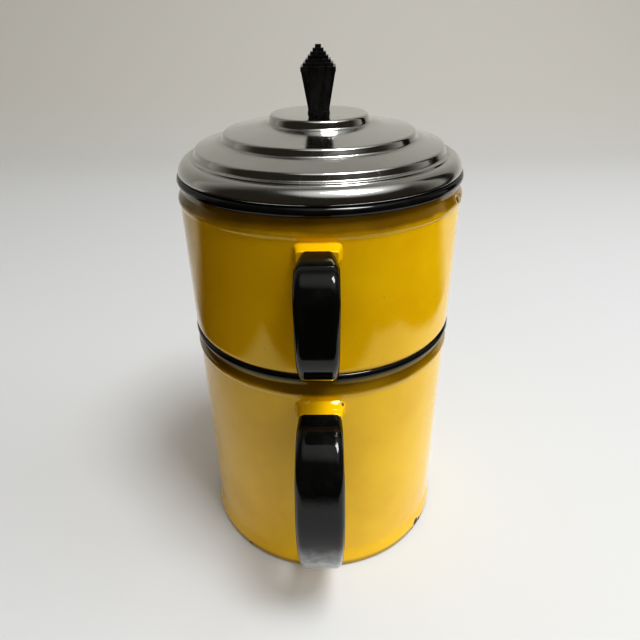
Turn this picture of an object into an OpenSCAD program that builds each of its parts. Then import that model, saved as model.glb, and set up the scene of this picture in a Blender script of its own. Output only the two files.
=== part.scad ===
// Two-tier enamelled drip coffee pot: a serving pot, a filter vessel stacked on its rim,
// a loose water spreader inside the vessel, and a stepped metal lid with a pyramid knob.
// Millimetres, +Z up. The origin is the middle of the pot's foot, on the table.
// The two handles point along -Y and the spout points along +Y.

/* [Pot] */
// Outer radius of the pot's straight wall
pot_r = 60; // [54:1:66]
// Height of the middle of the pot's rim bead
pot_h = 117; // [110:1:130]
// Thickness of the enamelled steel
wall = 1.2; // [0.8:0.1:1.4]
// Radius of the rolled bead round each mouth
bead_r = 2; // [1.8:0.1:2.2]
// Width of the flared foot beyond the wall
foot_flare = 1.2; // [0.8:0.1:1.6]

/* [Filter vessel] */
// How much the vessel's wall stands out beyond the pot's
filter_over = 0.4; // [0:0.1:0.8]
// Height between the two rim beads
filter_h = 69.9; // [62:0.1:80]
// Radius of the rounded edge that sits on the pot's bead
edge_r = 2.4; // [2:0.1:3]
// Depth of the spigot that enters the pot's mouth
spigot_depth = 11; // [8:0.5:13]
// Radius of one hole in the vessel's strainer
strainer_hole_r = 1.5; // [1:0.1:2]

/* [Handles] */
// Reach of the pot handle from the middle of the pot
pot_handle_reach = 96; // [92:1:102]
// Width of the pot handle at its widest
pot_handle_w = 19.8; // [17:0.1:22]
// Thickness of the pot handle
pot_handle_t = 6; // [4:0.5:7]
// Reach of the filter handle from the middle of the pot
filter_handle_reach = 88; // [86:1:94]
// Width of the filter handle at its widest
filter_handle_w = 15.7; // [14:0.1:18]
// Thickness of the filter handle
filter_handle_t = 5.5; // [4:0.5:6]

/* [Spout] */
// Outer radius of the spout where it meets the pot
spout_base_r = 15; // [13:0.5:17]
// Outer radius of the spout's mouth
spout_tip_r = 6.5; // [6:0.1:8]
// Distance of the spout's mouth from the middle of the pot
spout_reach = 102; // [98:1:108]

/* [Spreader] */
// Radius of one hole in the water spreader
spreader_hole_r = 1.2; // [0.8:0.1:1.6]
// Height of the spreader's lifting knob above its plate
spreader_knob_h = 22; // [18:1:30]

/* [Lid] */
// How much the lid's lower edge stands out beyond the pot's wall
lid_over = 0.9; // [0.5:0.1:1.5]
// Thickness of the lid's sheet metal
lid_t = 0.6; // [0.5:0.1:0.8]
// Height of the lid's top disc above its lower edge
lid_rise = 21.2; // [19:0.1:24]
// Width of the knob where it stands on the lid
knob_foot_w = 8.4; // [8:0.1:10]
// Width of the knob at its widest
knob_w = 14; // [12:0.5:18]
// Number of steps in the knob's pyramid
knob_steps = 7; // [5:1:9]

/* [Hidden] */
$fn = 96;

ENAMEL = "#D9A404";
BLACK = "#121212";
CHROME = "#B9BDBE";
STEEL = "#A8ACAE";
BRASS = "#B08D45";

gap = 0.3;            // play between pieces that lift apart
fit = 0.5;            // play round a ring that drops into a mouth
bead_c = pot_r - 0.1; // radius of both beads' middle line
filter_r = pot_r + filter_over;
lid_r = pot_r + lid_over;
neck_r = bead_c - 0.7;
mouth_r = neck_r - wall;
tongue = 0.6;         // how far the wall reaches into the bead above its middle
ridge_drop = 8;       // from the bead's middle down to the pressed ridge
ridge_r = 1.8;
ridge_in = 1.2;       // from the wall's face in to the ridge's centre
ridge_low = -48;      // angles at which the ridge's arc leaves the wall and the cove
ridge_high = 60;
cove_drop = 4;        // from the bead's middle down to the cove's end

base_z = 2.8;         // top of the seam that holds the pot's base
foot_h = 9;           // where the foot's flare meets the straight wall
panel_r = 49;         // radius of the base's raised middle
panel_z = 1.6;
panel_slope = 2;      // how far out the raised middle takes to come down to the foot
panel_inset = 0.4;    // how far in its upper corners lie from the lower ones
seam_out = 1;         // how far the folded seam stands out beyond the foot
seam_cut = 0.6;       // chamfer on the seam's lower edge
seam_top_cut = 0.4;   // chamfer on its upper edge

filter_bead_z = pot_h + filter_h;
shoulder_reach = bead_c - (filter_r - edge_r);
shoulder_c = pot_h + sqrt(pow(bead_r + gap + edge_r, 2) - pow(shoulder_reach, 2));
shoulder_z = shoulder_c - edge_r;
spigot_r = mouth_r - 0.8;
spigot_z = shoulder_z - spigot_depth;
hole_rings = 6;

plate_z = shoulder_z + wall + gap;
plate_t = 0.8;
plate_r = mouth_r - fit;
plate_rim = 3;
strainer_margin = 6;  // from the outermost ring of holes to the edge of its disc
plate_margin = 5;
rivet_r = 1.6;
rivet_head_t = 1;
lift_foot_r = 5;      // the lifting knob: foot, neck and ball
lift_foot_t = 1;
lift_neck_r = 3;
lift_neck_z = 4;      // where the foot's slope meets the neck
lift_ball_r = 4.5;    // radius of the ball's side beyond the neck
lift_ball_drop = 5;   // from the knob's top to the ball's middle
lift_cap = 4;         // solid above the rivet

lid_z = filter_bead_z + bead_r + gap;
lid_top = lid_z + lid_rise;
skirt_r = 5.7;
skirt_top = 78;       // angle at which the skirt's curve begins
ledge = [5.4, 6.2];   // the narrow ledge above the skirt: in from the edge, and up from it
collar_r = mouth_r - fit;
collar_t = 0.6;
collar_drop = 7;      // how far the collar hangs below the lid's edge
// Each tier: how far in its upper edge lies, how far below the top, then the same for its foot.
tier_edge = [[40.4, 0], [20.4, 6.5], [8.2, 12.1]];
tier_foot = [[38.7, 3.4], [18.7, 9.1], [6.5, 14.6]];
edge_round = 0.7;
draw = 0.1;           // how much thinner the sheet is in the risers

knob_shaft_h = 16.6;
knob_peak_h = 9;
knob_peak_w = 2.4;
knob_rebate = 0.9;
knob_lip = 0.4;       // the thin square edge under the pyramid
insert_r = 2.6;
insert_h = 7;
screw_r = 1.5;
washer_r = 4.5;
washer_t = 0.8;
screw_head_r = 3.2;
screw_head_h = 1.8;
slot_w = 0.8;
slot_depth = 0.8;

// Points of an arc about c, in degrees
function arc(c, r, a0, a1, n = 10) =
    [for (i = [0:n]) let (a = a0 + (a1 - a0) * i / n) c + r * [cos(a), sin(a)]];

function reversed(list) = [for (i = [len(list) - 1:-1:0]) list[i]];

// The neck under a bead: a pressed ridge, then a cove up to the bead. d is the depth below the face.
function neck(r, bead_z, d) = concat(
    arc([r - ridge_in, bead_z - ridge_drop], ridge_r - d, ridge_low, ridge_high, 8),
    [[neck_r - d, bead_z - cove_drop], [neck_r - d, bead_z + tongue]]
);

module ring(points) {
    rotate_extrude() polygon(points);
}

// A rolled bead that hooks over the end of the wall
module bead(z) {
    rotate_extrude() difference() {
        translate([bead_c, z]) circle(r = bead_r);
        translate([0, z - 2 * bead_r]) square([neck_r, 2 * bead_r + tongue]);
    }
}

// A disc with rings of drilled holes
module perforated_disc(r, t, hole_r, rings, margin) {
    pitch = (r - margin) / rings;
    linear_extrude(t) difference() {
        circle(r = r);
        for (k = [1:rings], i = [0:6 * k - 1])
            rotate(i * 60 / k) translate([k * pitch, 0]) circle(r = hole_r, $fn = 24);
    }
}

// ---------------------------------------------------------------- pot

function pot_side(d) = concat(
    [[pot_r + foot_flare - d, wall], [pot_r + foot_flare - d, base_z], [pot_r - d, foot_h]],
    neck(pot_r, pot_h, d)
);

module pot_body() {
    color(ENAMEL) difference() {
        ring(concat(pot_side(0), reversed(pot_side(wall))));
        translate([0, pot_r, spout_hole_z]) rotate([90, 0, 0])
            cylinder(r = spout_hole_r, h = 20, center = true);
    }
}

module pot_base() {
    foot_r = pot_r + foot_flare;
    color(ENAMEL) ring([
        [0, panel_z], [panel_r, panel_z], [panel_r + panel_slope, 0],
        [foot_r + seam_out - seam_cut, 0], [foot_r + seam_out, seam_cut],
        [foot_r + seam_out, base_z - seam_top_cut], [foot_r + seam_out - seam_top_cut, base_z],
        [foot_r, base_z], [foot_r, wall], [panel_r + panel_slope - panel_inset, wall],
        [panel_r - panel_inset, panel_z + wall], [0, panel_z + wall]
    ]);
}

module pot_rim() {
    color(BLACK) bead(pot_h);
}

// ---------------------------------------------------------------- spout

// The spout's middle line is a curve through these, as [distance from the axis, height]
spout_root = [50, 52];
spout_elbow = [80, 56];
spout_mouth = [spout_reach, pot_h - 1];
spout_root_tall = 1.5;  // height of the root's oval over its width
spout_rings = 12;
spout_sides = 32;
spout_hole_z = 56;
spout_hole_r = 10;

function spout_middle(t) =
    (1 - t) * (1 - t) * spout_root + 2 * t * (1 - t) * spout_elbow + t * t * spout_mouth;

// One oval ring of the spout, at depth d: upright at the root, level at the mouth
function spout_ring(t, d) =
    let (
        m = spout_middle(t),
        half = spout_base_r + (spout_tip_r - spout_base_r) * t,
        tall = half * (spout_root_tall + (1 - spout_root_tall) * t)
    )
    [for (i = [0:spout_sides - 1]) let (a = 360 * i / spout_sides)
        let (u = (tall - d) * sin(a)) [
            (half - d) * cos(a), m[0] - u * sin(90 * t), m[1] + u * cos(90 * t)
        ]];

module pot_spout() {
    n = spout_sides;
    rings = concat(
        [for (k = [0:spout_rings]) spout_ring(k / spout_rings, 0)],
        [for (k = [spout_rings:-1:0]) spout_ring(k / spout_rings, wall)]
    );
    last = len(rings);
    color(ENAMEL) difference() {
        polyhedron(
            [for (r = rings, p = r) p],
            [for (k = [0:last - 1], i = [0:n - 1]) let (j = (i + 1) % n, q = (k + 1) % last)
                [k * n + i, k * n + j, q * n + j, q * n + i]],
            convexity = 6
        );
        cylinder(r = pot_r, h = 2 * pot_h);
    }
}

// ---------------------------------------------------------------- handles

root = 5;              // how far a solid runs into the wall before it is cut to it
wide = 60;             // a cutter's size, beyond anything that it trims

// Side outlines as [distance from the axis, height], each at depth d below the outer face
pot_handle_top = 104;
pot_handle_bend = 20;
pot_handle_back = 65;  // height where the straight back ends
pot_handle_sweep = 61;
pot_handle_turn = 35.7;
pot_handle_curl = 28;
sweep_c = [pot_handle_reach - pot_handle_sweep, pot_handle_back];
curl_c = sweep_c + (pot_handle_sweep - pot_handle_curl) * [cos(pot_handle_turn), -sin(pot_handle_turn)];

function pot_handle_side(d) = concat(
    [[pot_r - root, pot_handle_top - d]],
    arc([pot_handle_reach - pot_handle_bend, pot_handle_top - pot_handle_bend],
        pot_handle_bend - d, 90, 0),
    arc(sweep_c, pot_handle_sweep - d, 0, -pot_handle_turn),
    arc(curl_c, pot_handle_curl - d, -pot_handle_turn, -90),
    [[pot_r - root, curl_c[1] - pot_handle_curl + d]]
);

filter_handle_top = filter_bead_z - 11.9;
filter_handle_bend = 11;
filter_handle_curl = 22.5;
filter_handle_bottom = pot_h + 7.5;

function filter_handle_side(d) = concat(
    [[filter_r - root, filter_handle_top - d]],
    arc([filter_handle_reach - filter_handle_bend, filter_handle_top - filter_handle_bend],
        filter_handle_bend - d, 90, 0),
    arc([filter_handle_reach - filter_handle_curl, filter_handle_bottom + filter_handle_curl],
        filter_handle_curl - d, 0, -90),
    [[filter_r - root, filter_handle_bottom + d]]
);

// A bent strap: its side outline swept across, trimmed to its width seen from the front
module strap(outer, inner, half_front, start) {
    front = concat(half_front, [for (p = reversed(half_front)) [-p[0], p[1]]]);
    intersection() {
        rotate([90, 0, -90]) linear_extrude(wide, center = true)
            polygon(concat(outer, reversed(inner)));
        translate([0, -start, 0]) rotate([90, 0, 0]) linear_extrude(wide) polygon(front);
    }
}

// A flared lug that joins a strap's end to the wall
module lug(wall_r, reach, w_wall, w_strap, z0, z1) {
    color(ENAMEL) difference() {
        translate([0, 0, z0]) linear_extrude(z1 - z0) polygon([
            [-w_wall / 2, root - wall_r], [w_wall / 2, root - wall_r],
            [w_strap / 2, -reach], [-w_strap / 2, -reach]
        ]);
        translate([0, 0, z0 - 1]) cylinder(r = wall_r, h = z1 - z0 + 2);
    }
}

lug_lip = 0.8;        // how much taller a lug is than the strap, on each side
lug_flare = 3.4;      // how much wider a lug is at the wall than the strap
pot_lug = pot_r + 8;    // where the lugs end and the straps begin
filter_lug = pot_r + 6.2;
pot_handle_end_w = pot_handle_w - 1.5;
pot_handle_foot_w = pot_handle_w - 3.4;
filter_handle_foot_w = filter_handle_w - 2.4;
pot_handle_foot_z = curl_c[1] - pot_handle_curl;
pot_handle_wide_z = 70;                // height at which the pot handle is widest
filter_handle_wide_z = pot_h + 30;     // height above which the filter handle keeps its width

module pot_handle() {
    color(BLACK) strap(
        pot_handle_side(0), pot_handle_side(pot_handle_t),
        [
            [pot_handle_foot_w / 2, 0], [pot_handle_w / 2, pot_handle_wide_z],
            [pot_handle_end_w / 2, pot_handle_top + 1]
        ],
        pot_lug
    );
}

module pot_handle_top_lug() {
    lug(pot_r, pot_lug, pot_handle_end_w + lug_flare, pot_handle_end_w,
        pot_handle_top - pot_handle_t - lug_lip, pot_handle_top + lug_lip);
}

module pot_handle_bottom_lug() {
    lug(pot_r, pot_lug, pot_handle_foot_w + lug_flare, pot_handle_foot_w,
        pot_handle_foot_z - lug_lip, pot_handle_foot_z + pot_handle_t + lug_lip);
}

module filter_handle() {
    color(BLACK) strap(
        filter_handle_side(0), filter_handle_side(filter_handle_t),
        [
            [filter_handle_foot_w / 2, pot_h], [filter_handle_w / 2, filter_handle_wide_z],
            [filter_handle_w / 2, filter_bead_z]
        ],
        filter_lug
    );
}

module filter_handle_top_lug() {
    lug(filter_r, filter_lug, filter_handle_w + lug_flare, filter_handle_w,
        filter_handle_top - filter_handle_t - lug_lip, filter_handle_top + lug_lip);
}

module filter_handle_bottom_lug() {
    lug(filter_r, filter_lug, filter_handle_foot_w + lug_flare, filter_handle_foot_w,
        filter_handle_bottom - lug_lip, filter_handle_bottom + filter_handle_t + lug_lip);
}

// ---------------------------------------------------------------- filter vessel

function filter_side(d) = concat(
    [[spigot_r - d, spigot_z], [spigot_r - d, shoulder_z + d]],
    arc([filter_r - edge_r, shoulder_c], edge_r - d, -90, 0),
    neck(filter_r, filter_bead_z, d)
);

module filter_body() {
    color(ENAMEL) ring(concat(filter_side(0), reversed(filter_side(wall))));
}

module filter_strainer() {
    color(ENAMEL) translate([0, 0, spigot_z])
        perforated_disc(spigot_r - wall, wall, strainer_hole_r, hole_rings, strainer_margin);
}

module filter_rim() {
    color(BLACK) bead(filter_bead_z);
}

// ---------------------------------------------------------------- water spreader

module spreader_plate() {
    color(STEEL) difference() {
        union() {
            translate([0, 0, plate_z])
                perforated_disc(plate_r, plate_t, spreader_hole_r, hole_rings, plate_margin);
            translate([0, 0, plate_z]) difference() {
                cylinder(r = plate_r, h = plate_rim);
                translate([0, 0, -1]) cylinder(r = plate_r - plate_t, h = plate_rim + 2);
            }
        }
        translate([0, 0, plate_z - 1]) cylinder(r = rivet_r, h = plate_t + 2);
    }
}

module spreader_stem() {
    color(STEEL) {
        translate([0, 0, plate_z - rivet_head_t]) cylinder(r = 2 * rivet_r, h = rivet_head_t);
        translate([0, 0, plate_z - rivet_head_t])
            cylinder(r = rivet_r, h = rivet_head_t + spreader_knob_h - lift_cap);
    }
}

module spreader_knob() {
    z0 = plate_z + plate_t;
    z1 = plate_z + spreader_knob_h;
    color(STEEL) difference() {
        ring(concat(
            [
                [0, z0], [lift_foot_r, z0], [lift_foot_r, z0 + lift_foot_t],
                [lift_neck_r, z0 + lift_neck_z], [lift_neck_r, z1 - 2 * lift_ball_drop]
            ],
            arc([lift_neck_r, z1 - lift_ball_drop], lift_ball_r, -60, 60),
            [[0, z1]]
        ));
        translate([0, 0, z0 - 1]) cylinder(r = rivet_r, h = z1 - lift_cap - z0 + 1);
    }
}

// ---------------------------------------------------------------- lid

// The stepped top from the middle out, shifted in by s[0] and down by s[1]
function lid_steps(s) = concat(
    [[0, lid_top - s[1]]],
    [for (k = [0:2], p = [
        [lid_r - tier_edge[k][0] - edge_round, lid_top - tier_edge[k][1]],
        [lid_r - tier_edge[k][0], lid_top - tier_edge[k][1] - edge_round],
        [lid_r - tier_foot[k][0] - edge_round, lid_top - tier_foot[k][1] + edge_round],
        [lid_r - tier_foot[k][0] + edge_round, lid_top - tier_foot[k][1]]
    ]) p - s],
    [[lid_r - ledge[0], lid_z + ledge[1]] - s]
);

function lid_under() = concat(
    lid_steps([lid_t - draw, lid_t]),
    arc([lid_r - skirt_r, lid_z], skirt_r - lid_t, skirt_top, 0)
);

module lid_shell() {
    skirt = arc([lid_r - skirt_r, lid_z], skirt_r, skirt_top, 0);
    color(CHROME) difference() {
        ring(concat(lid_steps([0, 0]), skirt, reversed(lid_under())));
        translate([0, 0, lid_top - 5]) cylinder(r = screw_r, h = 10);
    }
}

module lid_collar() {
    low = lid_z - collar_drop;
    color(STEEL) rotate_extrude() intersection() {
        translate([collar_r - collar_t, low]) square([collar_t, 2 * collar_drop]);
        polygon(concat([[0, low]], lid_under(), [[lid_r - lid_t, low]]));
    }
}

// ---------------------------------------------------------------- knob

// A square with stepped corners
module rebated_square(w, cut) {
    square([w, w - 2 * cut], center = true);
    square([w - 2 * cut, w], center = true);
}

module lid_knob() {
    step = knob_peak_h / knob_steps;
    color(BLACK) difference() {
        union() {
            translate([0, 0, lid_top]) linear_extrude(knob_shaft_h, scale = knob_w / knob_foot_w)
                rebated_square(knob_foot_w, knob_rebate);
            for (i = [0:knob_steps - 1]) {
                w = knob_w + (knob_peak_w - knob_w) * i / (knob_steps - 1);
                translate([-w / 2, -w / 2, lid_top + knob_shaft_h - knob_lip])
                    cube([w, w, knob_lip + (i + 1) * step]);
            }
        }
        translate([0, 0, lid_top - 1]) cylinder(r = insert_r, h = insert_h + 1);
    }
}

module knob_insert() {
    color(BRASS) translate([0, 0, lid_top]) difference() {
        cylinder(r = insert_r, h = insert_h);
        translate([0, 0, -1]) cylinder(r = screw_r, h = insert_h + 2);
    }
}

module knob_washer() {
    color(STEEL) translate([0, 0, lid_top - lid_t - washer_t]) difference() {
        cylinder(r = washer_r, h = washer_t);
        translate([0, 0, -1]) cylinder(r = screw_r, h = washer_t + 2);
    }
}

module knob_screw() {
    head_z = lid_top - lid_t - washer_t - screw_head_h;
    color(STEEL) difference() {
        union() {
            translate([0, 0, head_z]) cylinder(r = screw_head_r, h = screw_head_h);
            translate([0, 0, head_z]) cylinder(r = screw_r, h = screw_head_h + insert_h);
        }
        translate([-screw_head_r, -slot_w / 2, head_z - 1])
            cube([2 * screw_head_r, slot_w, 1 + slot_depth]);
    }
}

pot_body();
pot_base();
pot_rim();
pot_spout();
pot_handle();
pot_handle_top_lug();
pot_handle_bottom_lug();
filter_body();
filter_strainer();
filter_rim();
filter_handle();
filter_handle_top_lug();
filter_handle_bottom_lug();
spreader_plate();
spreader_stem();
spreader_knob();
lid_shell();
lid_collar();
lid_knob();
knob_insert();
knob_washer();
knob_screw();
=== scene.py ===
import functools
import math

import bmesh
import bpy
from mathutils import Matrix, Vector, noise


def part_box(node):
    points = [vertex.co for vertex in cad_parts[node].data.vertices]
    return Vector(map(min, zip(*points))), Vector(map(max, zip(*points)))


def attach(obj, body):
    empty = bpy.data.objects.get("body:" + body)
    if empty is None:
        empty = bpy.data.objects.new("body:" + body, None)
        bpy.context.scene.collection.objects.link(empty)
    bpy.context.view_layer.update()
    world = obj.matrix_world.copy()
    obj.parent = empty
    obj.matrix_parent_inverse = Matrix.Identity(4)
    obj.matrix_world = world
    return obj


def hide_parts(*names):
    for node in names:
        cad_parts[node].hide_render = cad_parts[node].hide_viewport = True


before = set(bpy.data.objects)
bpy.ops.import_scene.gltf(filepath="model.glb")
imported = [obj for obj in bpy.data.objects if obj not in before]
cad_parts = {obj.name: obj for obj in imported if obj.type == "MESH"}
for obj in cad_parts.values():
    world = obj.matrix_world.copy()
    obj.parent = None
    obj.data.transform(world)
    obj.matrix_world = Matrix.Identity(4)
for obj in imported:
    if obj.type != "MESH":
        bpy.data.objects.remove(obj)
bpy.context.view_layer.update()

bl_info = {
    "name": "Enamel Drip Coffee Pot",
    "version": (1, 0, 0),
    "blender": (4, 5, 0),
    "location": "3D View > Sidebar > Coffee Pot",
    "description": "Builds a two-tier enamelled drip coffee pot round its packed frame",
    "category": "Add Mesh",
}

MM = 0.001


# ---------------------------------------------------------------- sizes from the frame

def bead_of(node):
    """A rolled bead's middle radius, middle height and own radius."""
    low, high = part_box(node)
    own = (high.z - low.z) / 2
    return high.x - own, (high.z + low.z) / 2, own


POT_BEAD = bead_of("pot_rim")
FILTER_BEAD = bead_of("filter_rim")
FOOT_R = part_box("pot_body")[1].x
POT_R = POT_BEAD[0] + 0.1 * MM
RIDGE_PROUD = 0.6 * MM
FILTER_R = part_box("filter_body")[1].x - RIDGE_PROUD
NECK_R = POT_BEAD[0] - 0.7 * MM
SPIGOT_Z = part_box("filter_body")[0].z
STRAINER_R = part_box("filter_strainer")[1].x
HOLE_RINGS = 6
# Length over which a formed wall wanders in and out
FORMING_WAVE = 34 * MM
# Radius of the circle that an outline is swept round
TURN_PATH = 30 * MM
LID_LOW, LID_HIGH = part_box("lid_shell")
KNOB_LOW, KNOB_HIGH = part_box("lid_knob")
SPOUT_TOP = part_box("pot_spout")[1].z

# The lid's steps, upper corner then foot: in from the edge, down from the top, rounding
LID_STEPS = (
    (40.3 * MM, 0.0, 1.5 * MM),
    (39.0 * MM, 3.4 * MM, 1.3 * MM),
    (20.3 * MM, 6.4 * MM, 1.4 * MM),
    (19.0 * MM, 9.1 * MM, 1.1 * MM),
    (8.1 * MM, 12.0 * MM, 1.4 * MM),
    (6.9 * MM, 14.5 * MM, 0.8 * MM),
)


# ---------------------------------------------------------------- outlines

def arc(centre, radius, start, end, steps=8):
    """Points of an arc about a centre, from one angle to another in degrees."""
    angles = [math.radians(start + (end - start) * i / steps) for i in range(steps + 1)]
    return [(centre[0] + radius * math.cos(a), centre[1] + radius * math.sin(a)) for a in angles]


def rounded(corners, steps=6):
    """An open outline through (r, z, fillet) corners, with each filleted corner as an arc."""
    points = [corners[0][:2]]
    for before, here, after in zip(corners, corners[1:], corners[2:]):
        p = Vector(here[:2])
        to_before = Vector(before[:2]) - p
        to_after = Vector(after[:2]) - p
        u = to_before.normalized()
        v = to_after.normalized()
        half = u.angle(v) / 2
        if here[2] <= 0 or half > math.radians(88):
            points.append(tuple(p))
            continue
        back = min(here[2] / math.tan(half), 0.48 * to_before.length, 0.48 * to_after.length)
        radius = back * math.tan(half)
        centre = p + (u + v).normalized() * (radius / math.sin(half))
        first = p + u * back - centre
        last = p + v * back - centre
        turn = first.angle_signed(last)
        for i in range(steps + 1):
            a = -turn * i / steps
            x = first.x * math.cos(a) - first.y * math.sin(a)
            y = first.x * math.sin(a) + first.y * math.cos(a)
            points.append((centre.x + x, centre.y + y))
    points.append(corners[-1][:2])
    return points


def inward(points, depth):
    """The outline shifted to its right by depth, as the other face of a wall."""
    shifted = []
    for i, p in enumerate(points):
        a = Vector(points[max(i - 1, 0)])
        b = Vector(points[min(i + 1, len(points) - 1)])
        along = (b - a).normalized()
        shifted.append((max(p[0] + along.y * depth, 0.0), p[1] - along.x * depth))
    return shifted


def shell(outline, depth):
    """A closed outline: the outer face, then the inner face back to the start."""
    return outline + inward(outline, depth)[::-1]


def smooth_step(x):
    """Eases from 0 to 1 as x goes from 0 to 1."""
    x = min(max(x, 0.0), 1.0)
    return x * x * (3 - 2 * x)


def spread(low, high, count):
    """Even steps from low up to, but not at, high."""
    return [low + (high - low) * i / count for i in range(count)]


def neck_outline(radius, bead, low):
    """A straight wall from height low, its pressed ridge, and the cove up into its bead."""
    ridge_z = bead[1] - 8 * MM
    ridge_half = 1.1 * MM
    cove_low = ridge_z + 0.8 * MM
    cove_h = 3.6 * MM
    heights = spread(low, ridge_z - 3 * MM, 20) + spread(ridge_z - 3 * MM, bead[1] + 0.6 * MM, 34)
    points = []
    for z in heights:
        proud = RIDGE_PROUD * math.exp(-(((z - ridge_z) / ridge_half) ** 2))
        cove = smooth_step((z - cove_low) / cove_h)
        points.append((radius + proud - (radius - NECK_R) * cove, z))
    return points


# ---------------------------------------------------------------- node trees

FLOAT = "NodeSocketFloat"
VECTOR = "NodeSocketVector"
GEOMETRY = "NodeSocketGeometry"


class Wiring:
    """Adds nodes to a node tree and joins them."""

    def __init__(self, tree):
        self.tree = tree

    def node(self, kind, **settings):
        made = self.tree.nodes.new(kind)
        for key, value in settings.items():
            setattr(made, key, value)
        return made

    def put(self, socket, value):
        if isinstance(value, bpy.types.NodeSocket):
            self.tree.links.new(value, socket)
        elif value is not None:
            socket.default_value = value

    def feed(self, made, **values):
        """Sets a node's inputs, named in lower case with underscores."""
        for key, value in values.items():
            self.put(made.inputs[key.replace("_", " ").title()], value)
        return made

    def fed(self, kind, **values):
        return self.feed(self.node(kind), **values)

    def math(self, operation, a, b=None, c=None, clamp=False):
        made = self.node("ShaderNodeMath", operation=operation, use_clamp=clamp)
        for socket, value in zip(made.inputs, (a, b, c)):
            self.put(socket, value)
        return made.outputs[0]

    def vector(self, operation, a, b=None):
        made = self.node("ShaderNodeVectorMath", operation=operation)
        self.put(made.inputs[0], a)
        if b is not None:
            self.put(made.inputs[1], b)
        result = "Value" if operation in ("LENGTH", "DISTANCE", "DOT_PRODUCT") else "Vector"
        return made.outputs[result]

    def split(self, vector):
        return self.fed("ShaderNodeSeparateXYZ", vector=vector).outputs

    def combine(self, x=None, y=None, z=None):
        return self.fed("ShaderNodeCombineXYZ", x=x, y=y, z=z).outputs[0]

    def noise(self, vector, scale, detail=3.0, roughness=0.5):
        made = self.fed(
            "ShaderNodeTexNoise", vector=vector, scale=scale, detail=detail, roughness=roughness
        )
        return made.outputs["Fac"]

    def between(self, value, low, high, to_low=0.0, to_high=1.0):
        """Maps a value smoothly from one range to another."""
        made = self.node("ShaderNodeMapRange", interpolation_type="SMOOTHSTEP")
        self.feed(made, value=value, from_min=low, from_max=high, to_min=to_low, to_max=to_high)
        return made.outputs["Result"]

    def mix(self, share, a, b):
        made = self.node("ShaderNodeMix", data_type="RGBA")
        self.put(made.inputs["Factor"], share)
        self.put(made.inputs["A"], (*a, 1.0) if isinstance(a, tuple) else a)
        self.put(made.inputs["B"], (*b, 1.0) if isinstance(b, tuple) else b)
        return made.outputs["Result"]

    def group(self, tree, **values):
        return self.feed(self.node("ShaderNodeGroup", node_tree=tree), **values)

    def bump(self, height, strength, distance):
        made = self.fed("ShaderNodeBump", height=height, strength=strength, distance=distance)
        return made.outputs["Normal"]


def made_once(kept, name):
    """Has a tree or a material built at its first call, and found by name after that."""
    def wrap(build):
        @functools.wraps(build)
        def find():
            found = getattr(bpy.data, kept).get(name)
            return build(name) if found is None else found
        return find
    return wrap


def new_tree(name, kind, inputs, outputs):
    """A node tree with named inputs and outputs: its wiring, what it is given and what it makes."""
    tree = bpy.data.node_groups.new(name, kind)
    for side, ports in (("INPUT", inputs), ("OUTPUT", outputs)):
        for port_name, socket, *value in ports:
            port = tree.interface.new_socket(port_name, in_out=side, socket_type=socket)
            if value:
                port.default_value = value[0]
    w = Wiring(tree)
    return w, w.node("NodeGroupInput").outputs, w.node("NodeGroupOutput").inputs


def geometry_tree(name, *sizes):
    """A geometry tree that takes a geometry, named sizes and a material."""
    inputs = [("Geometry", GEOMETRY), *sizes, ("Material", "NodeSocketMaterial")]
    return new_tree(name, "GeometryNodeTree", inputs, [("Geometry", GEOMETRY)])


def close_tree(w, given, made, geometry):
    """Ends a tree in smooth shading, Realize Instances and Set Material."""
    smooth = w.fed("GeometryNodeSetShadeSmooth", geometry=geometry).outputs["Geometry"]
    real = w.fed("GeometryNodeRealizeInstances", geometry=smooth).outputs["Geometry"]
    paint = w.fed("GeometryNodeSetMaterial", geometry=real, material=given["Material"])
    w.put(made["Geometry"], paint.outputs["Geometry"])
    return w.tree


@made_once("node_groups", "turned")
def turned_tree(name):
    """Turns a closed outline about the vertical axis."""
    w, given, made = geometry_tree(
        name, ("Segments", "NodeSocketInt", 192), ("Path Radius", FLOAT, TURN_PATH)
    )
    circle = w.fed(
        "GeometryNodeCurvePrimitiveCircle", resolution=given["Segments"],
        radius=given["Path Radius"],
    )
    sweep = w.fed(
        "GeometryNodeCurveToMesh", curve=circle.outputs["Curve"], profile_curve=given["Geometry"]
    )
    merge = w.fed(
        "GeometryNodeMergeByDistance", geometry=sweep.outputs["Mesh"], distance=0.001 * MM
    )
    return close_tree(w, given, made, merge.outputs["Geometry"])


@made_once("node_groups", "drilled")
def drilled_tree(name):
    """Drills rings of round holes, six more in each ring than in the last, through a plate."""
    w, given, made = geometry_tree(
        name, ("Pitch", FLOAT, 8 * MM), ("Hole Radius", FLOAT, 1.5 * MM),
        ("Height", FLOAT, 0.0), ("Depth", FLOAT, 4 * MM),
    )
    drill = w.fed(
        "GeometryNodeMeshCylinder", vertices=20, radius=given["Hole Radius"], depth=given["Depth"]
    )
    rings = w.node("GeometryNodeJoinGeometry")
    for k in range(1, HOLE_RINGS + 1):
        radius = w.math("MULTIPLY", given["Pitch"], float(k))
        ring = w.fed("GeometryNodeMeshCircle", vertices=6 * k, radius=radius)
        w.put(rings.inputs["Geometry"], ring.outputs["Mesh"])
    lift = w.fed(
        "GeometryNodeSetPosition", geometry=rings.outputs["Geometry"],
        offset=w.combine(z=given["Height"]),
    )
    place = w.fed(
        "GeometryNodeInstanceOnPoints", points=lift.outputs["Geometry"],
        instance=drill.outputs["Mesh"],
    )
    real = w.fed("GeometryNodeRealizeInstances", geometry=place.outputs["Instances"])
    cut = w.node("GeometryNodeMeshBoolean", operation="DIFFERENCE")
    w.feed(cut, mesh_1=given["Geometry"], mesh_2=real.outputs["Geometry"])
    return close_tree(w, given, made, cut.outputs["Mesh"])


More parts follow.
